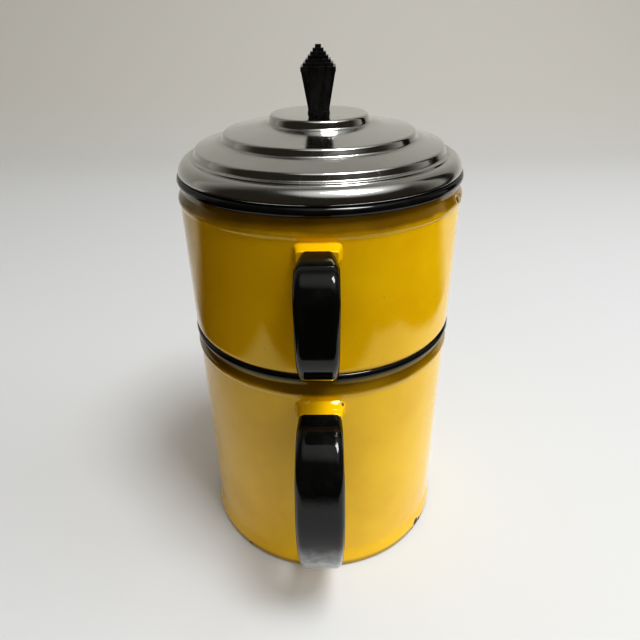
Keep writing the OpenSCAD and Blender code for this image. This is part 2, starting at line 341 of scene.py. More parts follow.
@made_once("node_groups", "strap")
def strap_tree(name):
    """Sweeps a crowned, round-edged strap along a path and narrows it towards its ends."""
    w, given, made = geometry_tree(
        name,
        ("Width", FLOAT, 18 * MM), ("Thickness", FLOAT, 6 * MM), ("Edge Radius", FLOAT, 2.4 * MM),
        ("Crown", FLOAT, 0.7 * MM), ("Widest Height", FLOAT, 65 * MM),
        ("Half Length", FLOAT, 48 * MM), ("Narrowing", FLOAT, 0.14), ("Root", FLOAT, 66 * MM),
        ("Root Reach", FLOAT, 10 * MM), ("Root Narrowing", FLOAT, 0.1),
    )
    outline = w.fed(
        "GeometryNodeCurvePrimitiveQuadrilateral", width=given["Width"], height=given["Thickness"]
    )
    fillet = w.node("GeometryNodeFilletCurve", mode="POLY")
    w.feed(fillet, curve=outline.outputs["Curve"], count=6, radius=given["Edge Radius"])
    even = w.fed("GeometryNodeResampleCurve", curve=fillet.outputs["Curve"], count=64)

    # The crown lifts the outer face's middle a little and drops its edges; the inner face stays
    split = w.split(w.node("GeometryNodeInputPosition").outputs["Position"])
    share = w.math("DIVIDE", split["X"], w.math("DIVIDE", given["Width"], 2.0))
    rise = w.math("SUBTRACT", 0.2, w.math("MULTIPLY", share, share))
    outer = w.math("GREATER_THAN", split["Y"], 0.0)
    crown = w.math("MULTIPLY", w.math("MULTIPLY", rise, given["Crown"]), outer)
    bent = w.fed(
        "GeometryNodeSetPosition", geometry=even.outputs["Curve"], offset=w.combine(y=crown)
    )
    sweep = w.node("GeometryNodeCurveToMesh")
    w.feed(sweep, curve=given["Geometry"], profile_curve=bent.outputs["Geometry"], fill_caps=True)

    # The strap loses width as the square of the way from its widest point, and near its roots
    away = w.math("SUBTRACT", split["Z"], given["Widest Height"])
    ratio = w.math("DIVIDE", away, given["Half Length"])
    lost = w.math("MULTIPLY", w.math("MULTIPLY", ratio, ratio), given["Narrowing"])
    past = w.math("DIVIDE", w.math("ADD", split["Y"], given["Root"]), given["Root Reach"])
    near = w.math("MAXIMUM", w.math("ADD", past, 1.0), 0.0)
    near = w.math("MULTIPLY", w.math("MULTIPLY", near, near), given["Root Narrowing"])
    inset = w.math("MULTIPLY", split["X"], w.math("ADD", lost, near))
    sideways = w.combine(x=w.math("MULTIPLY", inset, -1.0))
    narrow = w.fed("GeometryNodeSetPosition", geometry=sweep.outputs["Mesh"], offset=sideways)
    return close_tree(w, given, made, narrow.outputs["Geometry"])


def add_tree(source, tree, material, **sizes):
    """Puts a geometry tree on an object with its sizes, named in lower case with underscores."""
    modifier = source.modifiers.new(tree.name, "NODES")
    modifier.node_group = tree
    for item in tree.interface.items_tree:
        if item.item_type != "SOCKET" or item.in_out != "INPUT":
            continue
        key = item.name.lower().replace(" ", "_")
        if key == "material":
            modifier[item.identifier] = material
        elif key in sizes:
            modifier[item.identifier] = sizes.pop(key)
    if sizes:
        raise RuntimeError(f"the tree {tree.name} has no size named {sorted(sizes)}")


# ---------------------------------------------------------------- making meshes

def curve_object(name, points, cyclic):
    """A poly curve through 3D points."""
    curve = bpy.data.curves.new(name, "CURVE")
    curve.dimensions = "3D"
    spline = curve.splines.new("POLY")
    spline.points.add(len(points) - 1)
    for target, point in zip(spline.points, points):
        target.co = (*point, 1.0)
    spline.use_cyclic_u = cyclic
    source = bpy.data.objects.new(name, curve)
    bpy.context.scene.collection.objects.link(source)
    return source


def mesh_object(name, points, faces):
    mesh = bpy.data.meshes.new(name)
    mesh.from_pydata(points, [], faces)
    made = bpy.data.objects.new(name, mesh)
    bpy.context.scene.collection.objects.link(made)
    return made


def plain_mesh(source, name):
    """The evaluated object as a plain mesh object; the source and its modifiers go."""
    graph = bpy.context.evaluated_depsgraph_get()
    mesh = bpy.data.meshes.new_from_object(
        source.evaluated_get(graph), preserve_all_data_layers=True, depsgraph=graph
    )
    bpy.data.objects.remove(source)
    mesh.name = name
    made = bpy.data.objects.new(name, mesh)
    bpy.context.scene.collection.objects.link(made)
    return made


def close_up(made):
    """Merges doubles and turns every face outwards."""
    work = bmesh.new()
    work.from_mesh(made.data)
    bmesh.ops.remove_doubles(work, verts=work.verts, dist=0.002 * MM)
    bmesh.ops.dissolve_degenerate(work, edges=work.edges, dist=0.002 * MM)
    bmesh.ops.recalc_face_normals(work, faces=work.faces)
    if work.calc_volume(signed=True) < 0:
        bmesh.ops.reverse_faces(work, faces=work.faces)
    work.to_mesh(made.data)
    work.free()


def cut_away(made, tool):
    """The piece with the tool's solid cut out of it; the tool goes."""
    cut = made.modifiers.new("cut", "BOOLEAN")
    cut.operation = "DIFFERENCE"
    cut.object = tool
    cut.solver = "EXACT"
    made = plain_mesh(made, made.name)
    bpy.data.objects.remove(tool)
    close_up(made)
    return made


def smooth_by_angle(made, angle):
    """Smooth shading with edges sharper than an angle in degrees left crisp."""
    work = bmesh.new()
    work.from_mesh(made.data)
    limit = math.radians(angle)
    for face in work.faces:
        face.smooth = True
    for edge in work.edges:
        edge.smooth = len(edge.link_faces) == 2 and edge.calc_face_angle(0.0) < limit
    work.to_mesh(made.data)
    work.free()


def even_normals(made):
    """Gives large faces their own direction, so that fillets shade as fillets."""
    modifier = made.modifiers.new("normals", "WEIGHTED_NORMAL")
    modifier.keep_sharp = True
    return plain_mesh(made, made.name)


def hand_formed(made, amount, wave):
    """Moves a turned wall in and out a little, alike on both its faces."""
    for v in made.data.vertices:
        r = math.hypot(v.co.x, v.co.y)
        if r < 1 * MM:
            continue
        away = Vector((v.co.x, v.co.y, 0.0)) / r
        place = (away * POT_R + Vector((0, 0, v.co.z))) / wave
        v.co += away * (noise.noise(place) * amount * min(1.0, r / (10 * MM)))


def finish(made, body, nodes, material=None):
    """Sets a piece on its body, with its finish, in place of its CAD nodes."""
    if material is not None:
        made.data.materials.clear()
        made.data.materials.append(material)
    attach(made, body)
    if nodes:
        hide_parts(*nodes)
    return made


def turned_source(name, outline, material, segments):
    """A closed outline of (distance from the axis, height), with the tree that turns it."""
    points = [(r - TURN_PATH, -z, 0.0) for r, z in outline]
    source = curve_object(name + "_outline", points, True)
    add_tree(source, turned_tree(), material, segments=segments, path_radius=TURN_PATH)
    return source


def turn(name, outline, material, segments):
    """A turned mesh from a closed outline."""
    made = plain_mesh(turned_source(name, outline, material, segments), name)
    close_up(made)
    return made


def perforate(name, outline, material, **holes):
    """A turned plate with rings of holes drilled through it."""
    source = turned_source(name, outline, material, 128)
    add_tree(source, drilled_tree(), material, **holes)
    made = plain_mesh(source, name)
    close_up(made)
    smooth_by_angle(made, 35)
    return made


def loft(name, rings, close_ends=True):
    """Joins rings of points, each with the same count, into one closed skin."""
    count = len(rings[0])
    faces = []
    for k in range(len(rings) - 1):
        for i in range(count):
            j = (i + 1) % count
            faces.append((k * count + i, k * count + j, (k + 1) * count + j, (k + 1) * count + i))
    if close_ends:
        faces.append(tuple(range(count))[::-1])
        faces.append(tuple(range((len(rings) - 1) * count, len(rings) * count)))
    else:
        last = (len(rings) - 1) * count
        for i in range(count):
            j = (i + 1) % count
            faces.append((last + i, last + j, j, i))
    made = mesh_object(name, [p for ring in rings for p in ring], faces)
    close_up(made)
    return made


def rounded_oblong(half_w, half_t, power=4.0, count=48):
    """Points of a soft-cornered rectangle, as (across, through)."""
    points = []
    for i in range(count):
        a = 2 * math.pi * i / count
        c = math.cos(a)
        s = math.sin(a)
        scale = (abs(c) ** power + abs(s) ** power) ** (-1 / power)
        points.append((half_w * c * scale, half_t * s * scale))
    return points


# ---------------------------------------------------------------- shader groups

@made_once("node_groups", "glaze_ripple")
def glaze_ripple_group(name):
    """Height of a fired glaze: slow sags and a fine orange peel."""
    w, given, made = new_tree(
        name, "ShaderNodeTree",
        [("Vector", VECTOR), ("Sag", FLOAT, 1.0), ("Peel", FLOAT, 0.25)],
        [("Height", FLOAT)],
    )
    flat = w.vector("MULTIPLY", given["Vector"], (1.0, 1.0, 0.45))
    slow = w.noise(flat, 62.0, 1.5)
    fine = w.noise(given["Vector"], 420.0, 2.0)
    sag = w.math("MULTIPLY", slow, given["Sag"])
    peel = w.math("MULTIPLY", fine, given["Peel"])
    w.put(made["Height"], w.math("ADD", sag, peel))
    return w.tree


@made_once("node_groups", "chip")
def chip_group(name):
    """A ragged chip round one point: its bare middle and the pale broken rim round it."""
    w, given, made = new_tree(
        name, "ShaderNodeTree",
        [("Vector", VECTOR), ("Centre", VECTOR), ("Size", FLOAT, 1.0)],
        [("Bare", FLOAT), ("Rim", FLOAT)],
    )
    away = w.vector("DISTANCE", given["Vector"], given["Centre"])
    ragged = w.noise(given["Vector"], 900.0, 3.0, 0.65)
    push = w.math("MULTIPLY_ADD", ragged, 1.5, -0.75)
    reach = w.math("DIVIDE", away, given["Size"])
    edge = w.math("ADD", reach, push)
    w.put(made["Bare"], w.between(edge, 1.0, 0.86))
    w.put(made["Rim"], w.between(edge, 1.42, 1.15))
    return w.tree


@made_once("node_groups", "edge_wear")
def edge_wear_group(name):
    """Flakes and rubbing along a level edge, from how near a height the surface is."""
    w, given, made = new_tree(
        name, "ShaderNodeTree",
        [
            ("Vector", VECTOR), ("Level", FLOAT, 0.0), ("Reach", FLOAT, 1 * MM),
            ("Share", FLOAT, 0.5), ("Grain", FLOAT, 300.0),
        ],
        [("Flake", FLOAT), ("Nearness", FLOAT)],
    )
    split = w.split(given["Vector"])
    away = w.math("ABSOLUTE", w.math("SUBTRACT", split["Z"], given["Level"]))
    near = w.math("SUBTRACT", 1.0, w.math("DIVIDE", away, given["Reach"]), clamp=True)
    patch = w.noise(given["Vector"], given["Grain"], 4.0, 0.6)
    score = w.math("MULTIPLY", patch, near)
    limit = w.math("SUBTRACT", 0.8, w.math("MULTIPLY", given["Share"], 0.5))
    w.put(made["Flake"], w.between(w.math("SUBTRACT", score, limit), 0.0, 0.03))
    w.put(made["Nearness"], near)
    return w.tree


@made_once("node_groups", "specks")
def specks_group(name):
    """Small round specks scattered through a coat."""
    w, given, made = new_tree(
        name, "ShaderNodeTree",
        [("Vector", VECTOR), ("Spacing", FLOAT, 6 * MM), ("Share", FLOAT, 0.2),
         ("Size", FLOAT, 0.05)],
        [("Mask", FLOAT)],
    )
    density = w.math("DIVIDE", 1.0, given["Spacing"])
    cells = w.fed("ShaderNodeTexVoronoi", vector=given["Vector"], scale=density)
    parts = w.node("ShaderNodeSeparateColor")
    w.put(parts.inputs[0], cells.outputs["Color"])
    chosen = w.math("LESS_THAN", parts.outputs["Red"], given["Share"])
    size = w.math("MULTIPLY", given["Size"], w.math("ADD", parts.outputs["Green"], 0.35))
    dot = w.math("LESS_THAN", cells.outputs["Distance"], size)
    w.put(made["Mask"], w.math("MULTIPLY", chosen, dot))
    return w.tree


@made_once("node_groups", "hairlines")
def hairlines_group(name):
    """Fine wandering scratches, broken up so that few run far."""
    w, given, made = new_tree(
        name, "ShaderNodeTree",
        [("Vector", VECTOR), ("Scale", FLOAT, 60.0), ("Width", FLOAT, 0.01),
         ("Share", FLOAT, 0.5)],
        [("Mask", FLOAT)],
    )
    stretched = w.vector("MULTIPLY", given["Vector"], (1.0, 0.22, 0.6))
    crossed = w.vector("MULTIPLY", given["Vector"], (0.25, 1.0, 0.5))
    lines = []
    for run, shift in ((stretched, 0.0), (crossed, 7.3)):
        moved = w.vector("ADD", run, (shift, shift, 0.0))
        wander = w.noise(moved, given["Scale"], 2.0, 0.4)
        off = w.math("ABSOLUTE", w.math("SUBTRACT", wander, 0.5))
        thin = w.math("SUBTRACT", 1.0, w.math("DIVIDE", off, given["Width"]), clamp=True)
        broken = w.noise(moved, 210.0, 2.0)
        lines.append(w.math("MULTIPLY", thin, w.between(broken, 0.5, 0.62)))
    both = w.math("MAXIMUM", lines[0], lines[1])
    w.put(made["Mask"], w.math("MULTIPLY", both, given["Share"]))
    return w.tree


@made_once("node_groups", "lathe_marks")
def lathe_marks_group(name):
    """Fine rings about the vertical axis, as spinning and polishing leave."""
    w, given, made = new_tree(
        name, "ShaderNodeTree",
        [("Vector", VECTOR), ("Spacing", FLOAT, 0.25 * MM)],
        [("Height", FLOAT)],
    )
    split = w.split(given["Vector"])
    radius = w.vector("LENGTH", w.combine(split["X"], split["Y"]))
    out = w.math("DIVIDE", w.math("ADD", radius, split["Z"]), given["Spacing"])
    slow_x = w.math("MULTIPLY", split["X"], 6.0)
    slow_y = w.math("MULTIPLY", split["Y"], 6.0)
    w.put(made["Height"], w.noise(w.combine(out, slow_x, slow_y), 1.0, 2.0))
    return w.tree


@made_once("node_groups", "smudge")
def smudge_group(name):
    """Soft patches of handling: where a shine is a little duller."""
    w, given, made = new_tree(
        name, "ShaderNodeTree",
        [("Vector", VECTOR), ("Scale", FLOAT, 28.0)],
        [("Mask", FLOAT)],
    )
    broad = w.noise(given["Vector"], given["Scale"], 5.0, 0.6)
    streak = w.vector("MULTIPLY", given["Vector"], (5.0, 5.0, 1.0))
    wiped = w.noise(streak, given["Scale"], 3.0, 0.5)
    both = w.math("MULTIPLY_ADD", wiped, 0.4, w.math("MULTIPLY", broad, 0.6))
    w.put(made["Mask"], w.between(both, 0.46, 0.68))
    return w.tree


def new_material(name):
    """A material with a Principled shader, its wiring and the object's own coordinates."""
    material = bpy.data.materials.new(name)
    material.use_nodes = True
    wiring = Wiring(material.node_tree)
    shader = material.node_tree.nodes["Principled BSDF"]
    place = wiring.node("ShaderNodeTexCoord").outputs["Object"]
    return material, wiring, shader, place


# ---------------------------------------------------------------- finishes

def on_wall(turn_degrees, height_mm):
    """A point on the vessels' outside: degrees round from the handles, and height."""
    a = math.radians(turn_degrees)
    return (POT_R * math.sin(a), -POT_R * math.cos(a), height_mm * MM)


# Chips knocked out of the yellow coat: degrees round from the handles, height and size in mm
WALL_CHIPS = (
    (65.0, 180.4, 1.5), (68.5, 178.4, 1.3), (70.5, 180.8, 0.9),
    (54.0, 3.4, 2.0), (57.5, 2.2, 1.4), (50.5, 1.4, 1.0), (-38.0, 1.6, 1.2), (161.0, 2.4, 1.5),
    (-128.0, 2.0, 1.5), (-20.9, 129.6, 0.22), (24.0, 152.0, 0.16),
    (-152.0, 121.4, 1.1), (118.0, 120.8, 0.8),
)
# Chips on the corners of the pot handle's upper lug: across, out and up in mm
LUG_CHIPS = ((-9.8, 63.0, 104.6, 0.6), (9.8, 62.0, 105.0, 1.0), (8.6, 61.4, 105.9, 0.7))


def chip_masks(w, place, centres):
    """The bare and rim masks of several chips together."""
    bare = None
    rim = None
    for centre, size in centres:
        chip = w.group(chip_group(), vector=place, centre=centre, size=size * MM)
        if bare is None:
            bare = chip.outputs["Bare"]
            rim = chip.outputs["Rim"]
        else:
            bare = w.math("MAXIMUM", bare, chip.outputs["Bare"])
            rim = w.math("MAXIMUM", rim, chip.outputs["Rim"])
    return bare, rim


def grime_and_painted_shade(w, place, height):
    """Grimy soiling and painted shade: darker in the coves under the beads, and low on the foot."""
    uneven = w.math("MULTIPLY_ADD", w.noise(place, 38.0, 3.0, 0.6), 3.0 * MM, -1.5 * MM)
    tide = w.math("ADD", height, uneven)
    # The foot's lowest few millimetres: grimy soiling together with a painted contact shadow.
    dark_bands = w.between(height, 4.2 * MM, 2.2 * MM, 0.0, 0.7)
    # Under each bead: a band of painted shade in the cove, with grimy soiling, fading out downwards
    # along an uneven edge.
    for bead_z in (POT_BEAD[1], FILTER_BEAD[1]):
        up = w.between(tide, bead_z - 9.6 * MM, bead_z - 6.4 * MM)
        down = w.between(height, bead_z + 1.4 * MM, bead_z)
        dark_bands = w.math("MAXIMUM", dark_bands, w.math("MULTIPLY", up, down))
    patchy = w.between(w.noise(place, 30.0, 2.0, 0.5), 0.3, 0.7, 0.86, 1.0)
    return w.math("MULTIPLY", dark_bands, patchy)


def coat_chips(w, place, height, wear_and_painted_light):
    """The bare and rim masks of all the chips in the yellow coat, with flakes round the foot."""
    outwards = w.vector("NORMALIZE", w.vector("MULTIPLY", place, (1.0, 1.0, 0.0)))
    on_pot = w.feed(w.node("ShaderNodeVectorMath", operation="SCALE"), vector=outwards, scale=POT_R)
    along = w.vector("ADD", on_pot.outputs["Vector"], w.combine(z=height))
    walls = [(on_wall(turn, high), size) for turn, high, size in WALL_CHIPS]
    lugs = [((x * MM, -y * MM, z * MM), size) for x, y, z, size in LUG_CHIPS]
    bare, rim = chip_masks(w, along, walls)
    lug_bare, lug_rim = chip_masks(w, place, lugs)
    foot = w.group(
        edge_wear_group(), vector=place, level=0.4 * MM, reach=2.4 * MM,
        share=0.55 * wear_and_painted_light, grain=260.0,
    )
    bare = w.math("MAXIMUM", w.math("MAXIMUM", bare, lug_bare), foot.outputs["Flake"])
    return bare, w.math("MAXIMUM", rim, lug_rim)


@made_once("materials", "yellow_glaze")
def yellow_enamel(name):
    """Golden vitreous enamel on steel: sagged gloss, specks, grimy necks darkened with painted shade,
    chips.
    """
    look = bpy.context.scene.coffee_pot_finish
    material, w, shader, place = new_material(name)
    colour = tuple(look.enamel)
    deep = (colour[0] * 0.78, colour[1] * 0.64, colour[2] * 0.35)
    cloud = w.between(w.noise(place, 24.0, 4.0, 0.55), 0.38, 0.72)
    base = w.mix(w.math("MULTIPLY", cloud, 0.45), colour, deep)

    height = w.split(place)["Z"]
    # Painted shade with grimy soiling: the coves under the beads and the foot's low edge are mixed
    # towards deep brown.
    darkening = w.math("MULTIPLY", grime_and_painted_shade(w, place, height), min(1.0, 1.12 * look.wear_and_painted_light))
    base = w.mix(darkening, base, (0.050, 0.018, 0.001))

    specks = w.group(specks_group(), vector=place, spacing=7.0 * MM, share=0.22, size=0.022)
    pits = w.group(specks_group(), vector=place, spacing=3.1 * MM, share=0.10, size=0.030)
    base = w.mix(w.math("MULTIPLY", specks.outputs["Mask"], 0.85), base, (0.05, 0.03, 0.01))
    base = w.mix(w.math("MULTIPLY", pits.outputs["Mask"], 0.30), base, (0.28, 0.12, 0.01))

    bare, rim = coat_chips(w, place, height, look.wear_and_painted_light)
    base = w.mix(w.math("MULTIPLY", rim, 0.75), base, (0.55, 0.36, 0.14))
    rust = w.between(w.noise(place, 1300.0, 3.0), 0.4, 0.65)
    steel = w.mix(rust, (0.018, 0.016, 0.016), (0.085, 0.032, 0.012))
    base = w.mix(bare, base, steel)
    w.put(shader.inputs["Base Color"], base)

    smudge = w.group(smudge_group(), vector=place, scale=26.0).outputs["Mask"]
    hair = w.group(hairlines_group(), vector=place, scale=70.0, width=0.006, share=0.5)
    rough = w.math("MULTIPLY_ADD", smudge, 0.045, 0.022)
    rough = w.math("MULTIPLY_ADD", hair.outputs["Mask"], 0.10, rough)
    rough = w.math("MULTIPLY_ADD", darkening, 0.10, rough)
    w.put(shader.inputs["Roughness"], w.math("MAXIMUM", rough, w.math("MULTIPLY", bare, 0.7)))
    shader.inputs["IOR"].default_value = 1.72
    shader.inputs["Specular Tint"].default_value = (1.0, 0.92, 0.42, 1.0)

    ripple = w.group(glaze_ripple_group(), vector=place, sag=1.0, peel=0.10).outputs["Height"]
    relief = w.math("MULTIPLY_ADD", bare, -1.0, ripple)
    relief = w.math("MULTIPLY_ADD", pits.outputs["Mask"], -0.12, relief)
    w.put(shader.inputs["Normal"], w.bump(relief, 0.55, 0.35 * MM))
    return material


@made_once("materials", "black_glaze")
def black_enamel(name):
    """Black vitreous enamel: deep gloss, a few pinholes, a pale painted reflection low on the pot."""
    look = bpy.context.scene.coffee_pot_finish
    material, w, shader, place = new_material(name)
    colour = tuple(look.black)
    grey = w.between(w.noise(place, 130.0, 4.0, 0.6), 0.45, 0.8)
    base = w.mix(w.math("MULTIPLY", grey, 0.25), colour, (0.035, 0.033, 0.030))
    specks = w.group(specks_group(), vector=place, spacing=4.0 * MM, share=0.16, size=0.028)
    base = w.mix(w.math("MULTIPLY", specks.outputs["Mask"], 0.5 * look.wear_and_painted_light), base,
                 (0.16, 0.13, 0.10))
    split = w.split(place)
    # Painted reflection: low on the pot handle the black is painted pale grey in noisy patches,
    # standing in for the bright table that its gloss would show.
    tide = w.math("MULTIPLY_ADD", w.noise(place, 75.0, 3.0, 0.55), 20 * MM, -10 * MM)
    low = w.between(w.math("ADD", split["Z"], tide), 60 * MM, 41 * MM)
    rubbed = w.between(w.noise(place, 160.0, 5.0, 0.65), 0.30, 0.66, 0.45, 1.0)
    scale = w.math("MULTIPLY", w.math("MULTIPLY", low, rubbed), 0.9 * look.wear_and_painted_light)
    # Mixes in the pale painted reflection.
    base = w.mix(scale, base, (0.50, 0.53, 0.54))
    w.put(shader.inputs["Base Color"], base)
    smudge = w.group(smudge_group(), vector=place, scale=60.0).outputs["Mask"]
    hair = w.group(hairlines_group(), vector=place, scale=150.0, width=0.010, share=0.8)
    rough = w.math("MULTIPLY_ADD", smudge, 0.06, 0.045)
    rough = w.math("MULTIPLY_ADD", low, 0.14, rough)
    rough = w.math("MULTIPLY_ADD", hair.outputs["Mask"], 0.16 * look.wear_and_painted_light, rough)
    w.put(shader.inputs["Roughness"], rough)
    shader.inputs["IOR"].default_value = 1.42
    ripple = w.group(glaze_ripple_group(), vector=place, sag=0.6, peel=0.10).outputs["Height"]
    height = w.math("MULTIPLY_ADD", specks.outputs["Mask"], -0.15, ripple)
    w.put(shader.inputs["Normal"], w.bump(height, 0.5, 0.3 * MM))
    return material


@made_once("materials", "worn_plating")
def lid_chrome(name):
    """Old bright plating: polishing rings, hairlines, cloudy patches and grey in the steps."""
    look = bpy.context.scene.coffee_pot_finish
    material, w, shader, place = new_material(name)
    colour = tuple(look.chrome)
    cloud = w.between(w.noise(place, 45.0, 5.0, 0.6), 0.42, 0.75)
    base = w.mix(w.math("MULTIPLY", cloud, 0.35 * look.wear_and_painted_light), colour, (0.50, 0.485, 0.46))
    pits = w.group(specks_group(), vector=place, spacing=2.2 * MM, share=0.10, size=0.035)
    base = w.mix(w.math("MULTIPLY", pits.outputs["Mask"], 0.5), base, (0.12, 0.10, 0.08))
    dark_bands = None
    for _, drop, _ in LID_STEPS[1::2]:
        band = w.group(
            edge_wear_group(), vector=place, level=LID_HIGH.z - drop, reach=0.8 * MM, grain=200.0
        )
        near = band.outputs["Nearness"]
        dark_bands = near if dark_bands is None else w.math("MAXIMUM", dark_bands, near)
    darkening = w.math("MULTIPLY", dark_bands, 0.30 * look.wear_and_painted_light)
    base = w.mix(darkening, base, (0.20, 0.18, 0.15))
    w.put(shader.inputs["Base Color"], base)
    shader.inputs["Metallic"].default_value = 1.0

    marks = w.group(lathe_marks_group(), vector=place, spacing=0.32 * MM).outputs["Height"]
    hair = w.group(hairlines_group(), vector=place, scale=85.0, width=0.012, share=1.0)
    cross = w.group(hairlines_group(), vector=w.vector("ADD", place, (0.31, 0.12, 0.05)),
                    scale=150.0, width=0.010, share=0.8)
    scratch = w.math("MAXIMUM", hair.outputs["Mask"], cross.outputs["Mask"])
    rough = w.math("MULTIPLY_ADD", cloud, 0.10, 0.11)
    rough = w.math("MULTIPLY_ADD", scratch, 0.12 * look.wear_and_painted_light, rough)
    rough = w.math("MULTIPLY_ADD", darkening, 0.3, rough)
    w.put(shader.inputs["Roughness"], rough)
    height = w.math("MULTIPLY_ADD", marks, 0.20, w.math("MULTIPLY", scratch, -0.15))
    height = w.math("MULTIPLY_ADD", pits.outputs["Mask"], -0.5, height)
    wave = w.noise(place, 70.0, 1.0)
    height = w.math("MULTIPLY_ADD", wave, 1.6, height)
    w.put(shader.inputs["Normal"], w.bump(height, 0.35, 0.10 * MM))
    return material


@made_once("materials", "moulded_resin")
def bakelite(name):
    """Black moulded resin: satin, duller on its edges, pale dust in its grooves."""
    look = bpy.context.scene.coffee_pot_finish
    material, w, shader, place = new_material(name)
    flow = w.between(w.noise(w.vector("MULTIPLY", place, (1, 1, 0.3)), 420.0, 4.0, 0.6), 0.4, 0.7)
    base = w.mix(w.math("MULTIPLY", flow, 0.5), tuple(look.knob), (0.022, 0.020, 0.019))
    dust = w.between(w.noise(place, 900.0, 4.0, 0.7), 0.58, 0.72)
    base = w.mix(w.math("MULTIPLY", dust, 0.22 * look.wear_and_painted_light), base, (0.16, 0.15, 0.135))
    w.put(shader.inputs["Base Color"], base)
    rough = w.math("MULTIPLY_ADD", flow, 0.12, 0.26)
    w.put(shader.inputs["Roughness"], w.math("MULTIPLY_ADD", dust, 0.2, rough))
    shader.inputs["IOR"].default_value = 1.55
    w.put(shader.inputs["Normal"], w.bump(w.noise(place, 1500.0, 3.0), 0.25, 0.05 * MM))
    return material


@made_once("materials", "tinned_steel")
def bare_steel(name):
    """Tinned steel: turned rings, rubbed bright, tea-brown stains."""
    look = bpy.context.scene.coffee_pot_finish
    material, w, shader, place = new_material(name)
    stain = w.between(w.noise(place, 55.0, 5.0, 0.6), 0.5, 0.72)
    base = w.mix(w.math("MULTIPLY", stain, 0.55 * look.wear_and_painted_light), tuple(look.steel),
                 (0.30, 0.21, 0.13))
    w.put(shader.inputs["Base Color"], base)
    shader.inputs["Metallic"].default_value = 1.0
    marks = w.group(lathe_marks_group(), vector=place, spacing=0.5 * MM).outputs["Height"]
    hair = w.group(hairlines_group(), vector=place, scale=110.0, width=0.012, share=0.9)
    rough = w.math("MULTIPLY_ADD", stain, 0.18, 0.24)
    w.put(shader.inputs["Roughness"], w.math("MULTIPLY_ADD", marks, 0.12, rough))
    height = w.math("MULTIPLY_ADD", hair.outputs["Mask"], -0.5, marks)
    w.put(shader.inputs["Normal"], w.bump(height, 0.4, 0.06 * MM))
    return material


@made_once("materials", "aged_brass")
def machined_brass(name):
    """Turned brass, dulled with age."""
    look = bpy.context.scene.coffee_pot_finish
    material, w, shader, place = new_material(name)
    age = w.between(w.noise(place, 300.0, 4.0, 0.6), 0.4, 0.7)
    w.put(shader.inputs["Base Color"], w.mix(w.math("MULTIPLY", age, 0.6), tuple(look.brass),
                                             (0.24, 0.15, 0.07)))
    shader.inputs["Metallic"].default_value = 1.0
    marks = w.group(lathe_marks_group(), vector=place, spacing=0.2 * MM).outputs["Height"]
    w.put(shader.inputs["Roughness"], w.math("MULTIPLY_ADD", age, 0.2, 0.25))
    w.put(shader.inputs["Normal"], w.bump(marks, 0.4, 0.04 * MM))
    return material


# ---------------------------------------------------------------- settings

class CoffeePotFinish(bpy.types.PropertyGroup):
    """Colours and wear of the coffee pot's finishes."""

    enamel: bpy.props.FloatVectorProperty(
        name="Enamel", description="Colour of the vessels' enamel", subtype="COLOR",
        size=3, min=0.0, max=1.0, default=(0.82, 0.50, 0.003),
    )
    black: bpy.props.FloatVectorProperty(
        name="Black enamel", description="Colour of the beads and handles", subtype="COLOR",
        size=3, min=0.0, max=1.0, default=(0.004, 0.0045, 0.0045),
    )
    chrome: bpy.props.FloatVectorProperty(
        name="Lid plating", description="Colour of the lid's plating", subtype="COLOR",
        size=3, min=0.0, max=1.0, default=(0.59, 0.595, 0.58),
    )
    knob: bpy.props.FloatVectorProperty(
        name="Knob", description="Colour of the moulded knob", subtype="COLOR",
        size=3, min=0.0, max=1.0, default=(0.004, 0.0045, 0.0045),
    )
    steel: bpy.props.FloatVectorProperty(
        name="Steel", description="Colour of the bare steel pieces", subtype="COLOR",
        size=3, min=0.0, max=1.0, default=(0.60, 0.59, 0.57),
    )
    brass: bpy.props.FloatVectorProperty(
        name="Brass", description="Colour of the knob's brass bush", subtype="COLOR",
        size=3, min=0.0, max=1.0, default=(0.68, 0.48, 0.22),
    )
    # How worn and grimy the finishes are; it also sets how strong the painted shade in the yellow coves
    # and round the foot is, and the pale painted reflection low on the pot handle.
    wear_and_painted_light: bpy.props.FloatProperty(
        name="Wear", description="How worn and grimy the finishes are", subtype="FACTOR",
        min=0.0, max=1.0, default=0.8,
    )


class CoffeePotSizes(bpy.types.PropertyGroup):
    """Sizes of the coffee pot that its frame leaves free."""

    wall: bpy.props.FloatProperty(
        name="Wall", description="Thickness of the enamelled wall", unit="LENGTH",
        min=0.6 * MM, max=1.6 * MM, default=1.2 * MM,
    )
    lid_sheet: bpy.props.FloatProperty(
        name="Lid sheet", description="Thickness of the lid's sheet", unit="LENGTH",
        min=0.4 * MM, max=0.8 * MM, default=0.6 * MM,
    )
    unevenness: bpy.props.FloatProperty(
        name="Unevenness", description="How far the formed walls wander", unit="LENGTH",
        min=0.0, max=0.3 * MM, default=0.14 * MM,
    )
    crown: bpy.props.FloatProperty(
        name="Handle crown", description="How far a strap's outer face bows", unit="LENGTH",
        min=0.0, max=2.0 * MM, default=1.7 * MM,
    )
    hole: bpy.props.FloatProperty(
        name="Strainer hole", description="Radius of one strainer hole", unit="LENGTH",
        min=0.8 * MM, max=2.0 * MM, default=1.5 * MM,
    )
    spreader_hole: bpy.props.FloatProperty(
        name="Spreader hole", description="Radius of one spreader hole", unit="LENGTH",
        min=0.6 * MM, max=1.6 * MM, default=1.2 * MM,
    )
    segments: bpy.props.IntProperty(
        name="Segments", description="Flat steps round a turned piece",
        min=48, max=256, default=192,
    )


# ---------------------------------------------------------------- the pot

SPOUT_HOLE_R = 10 * MM
SPOUT_HOLE_Z = 56 * MM


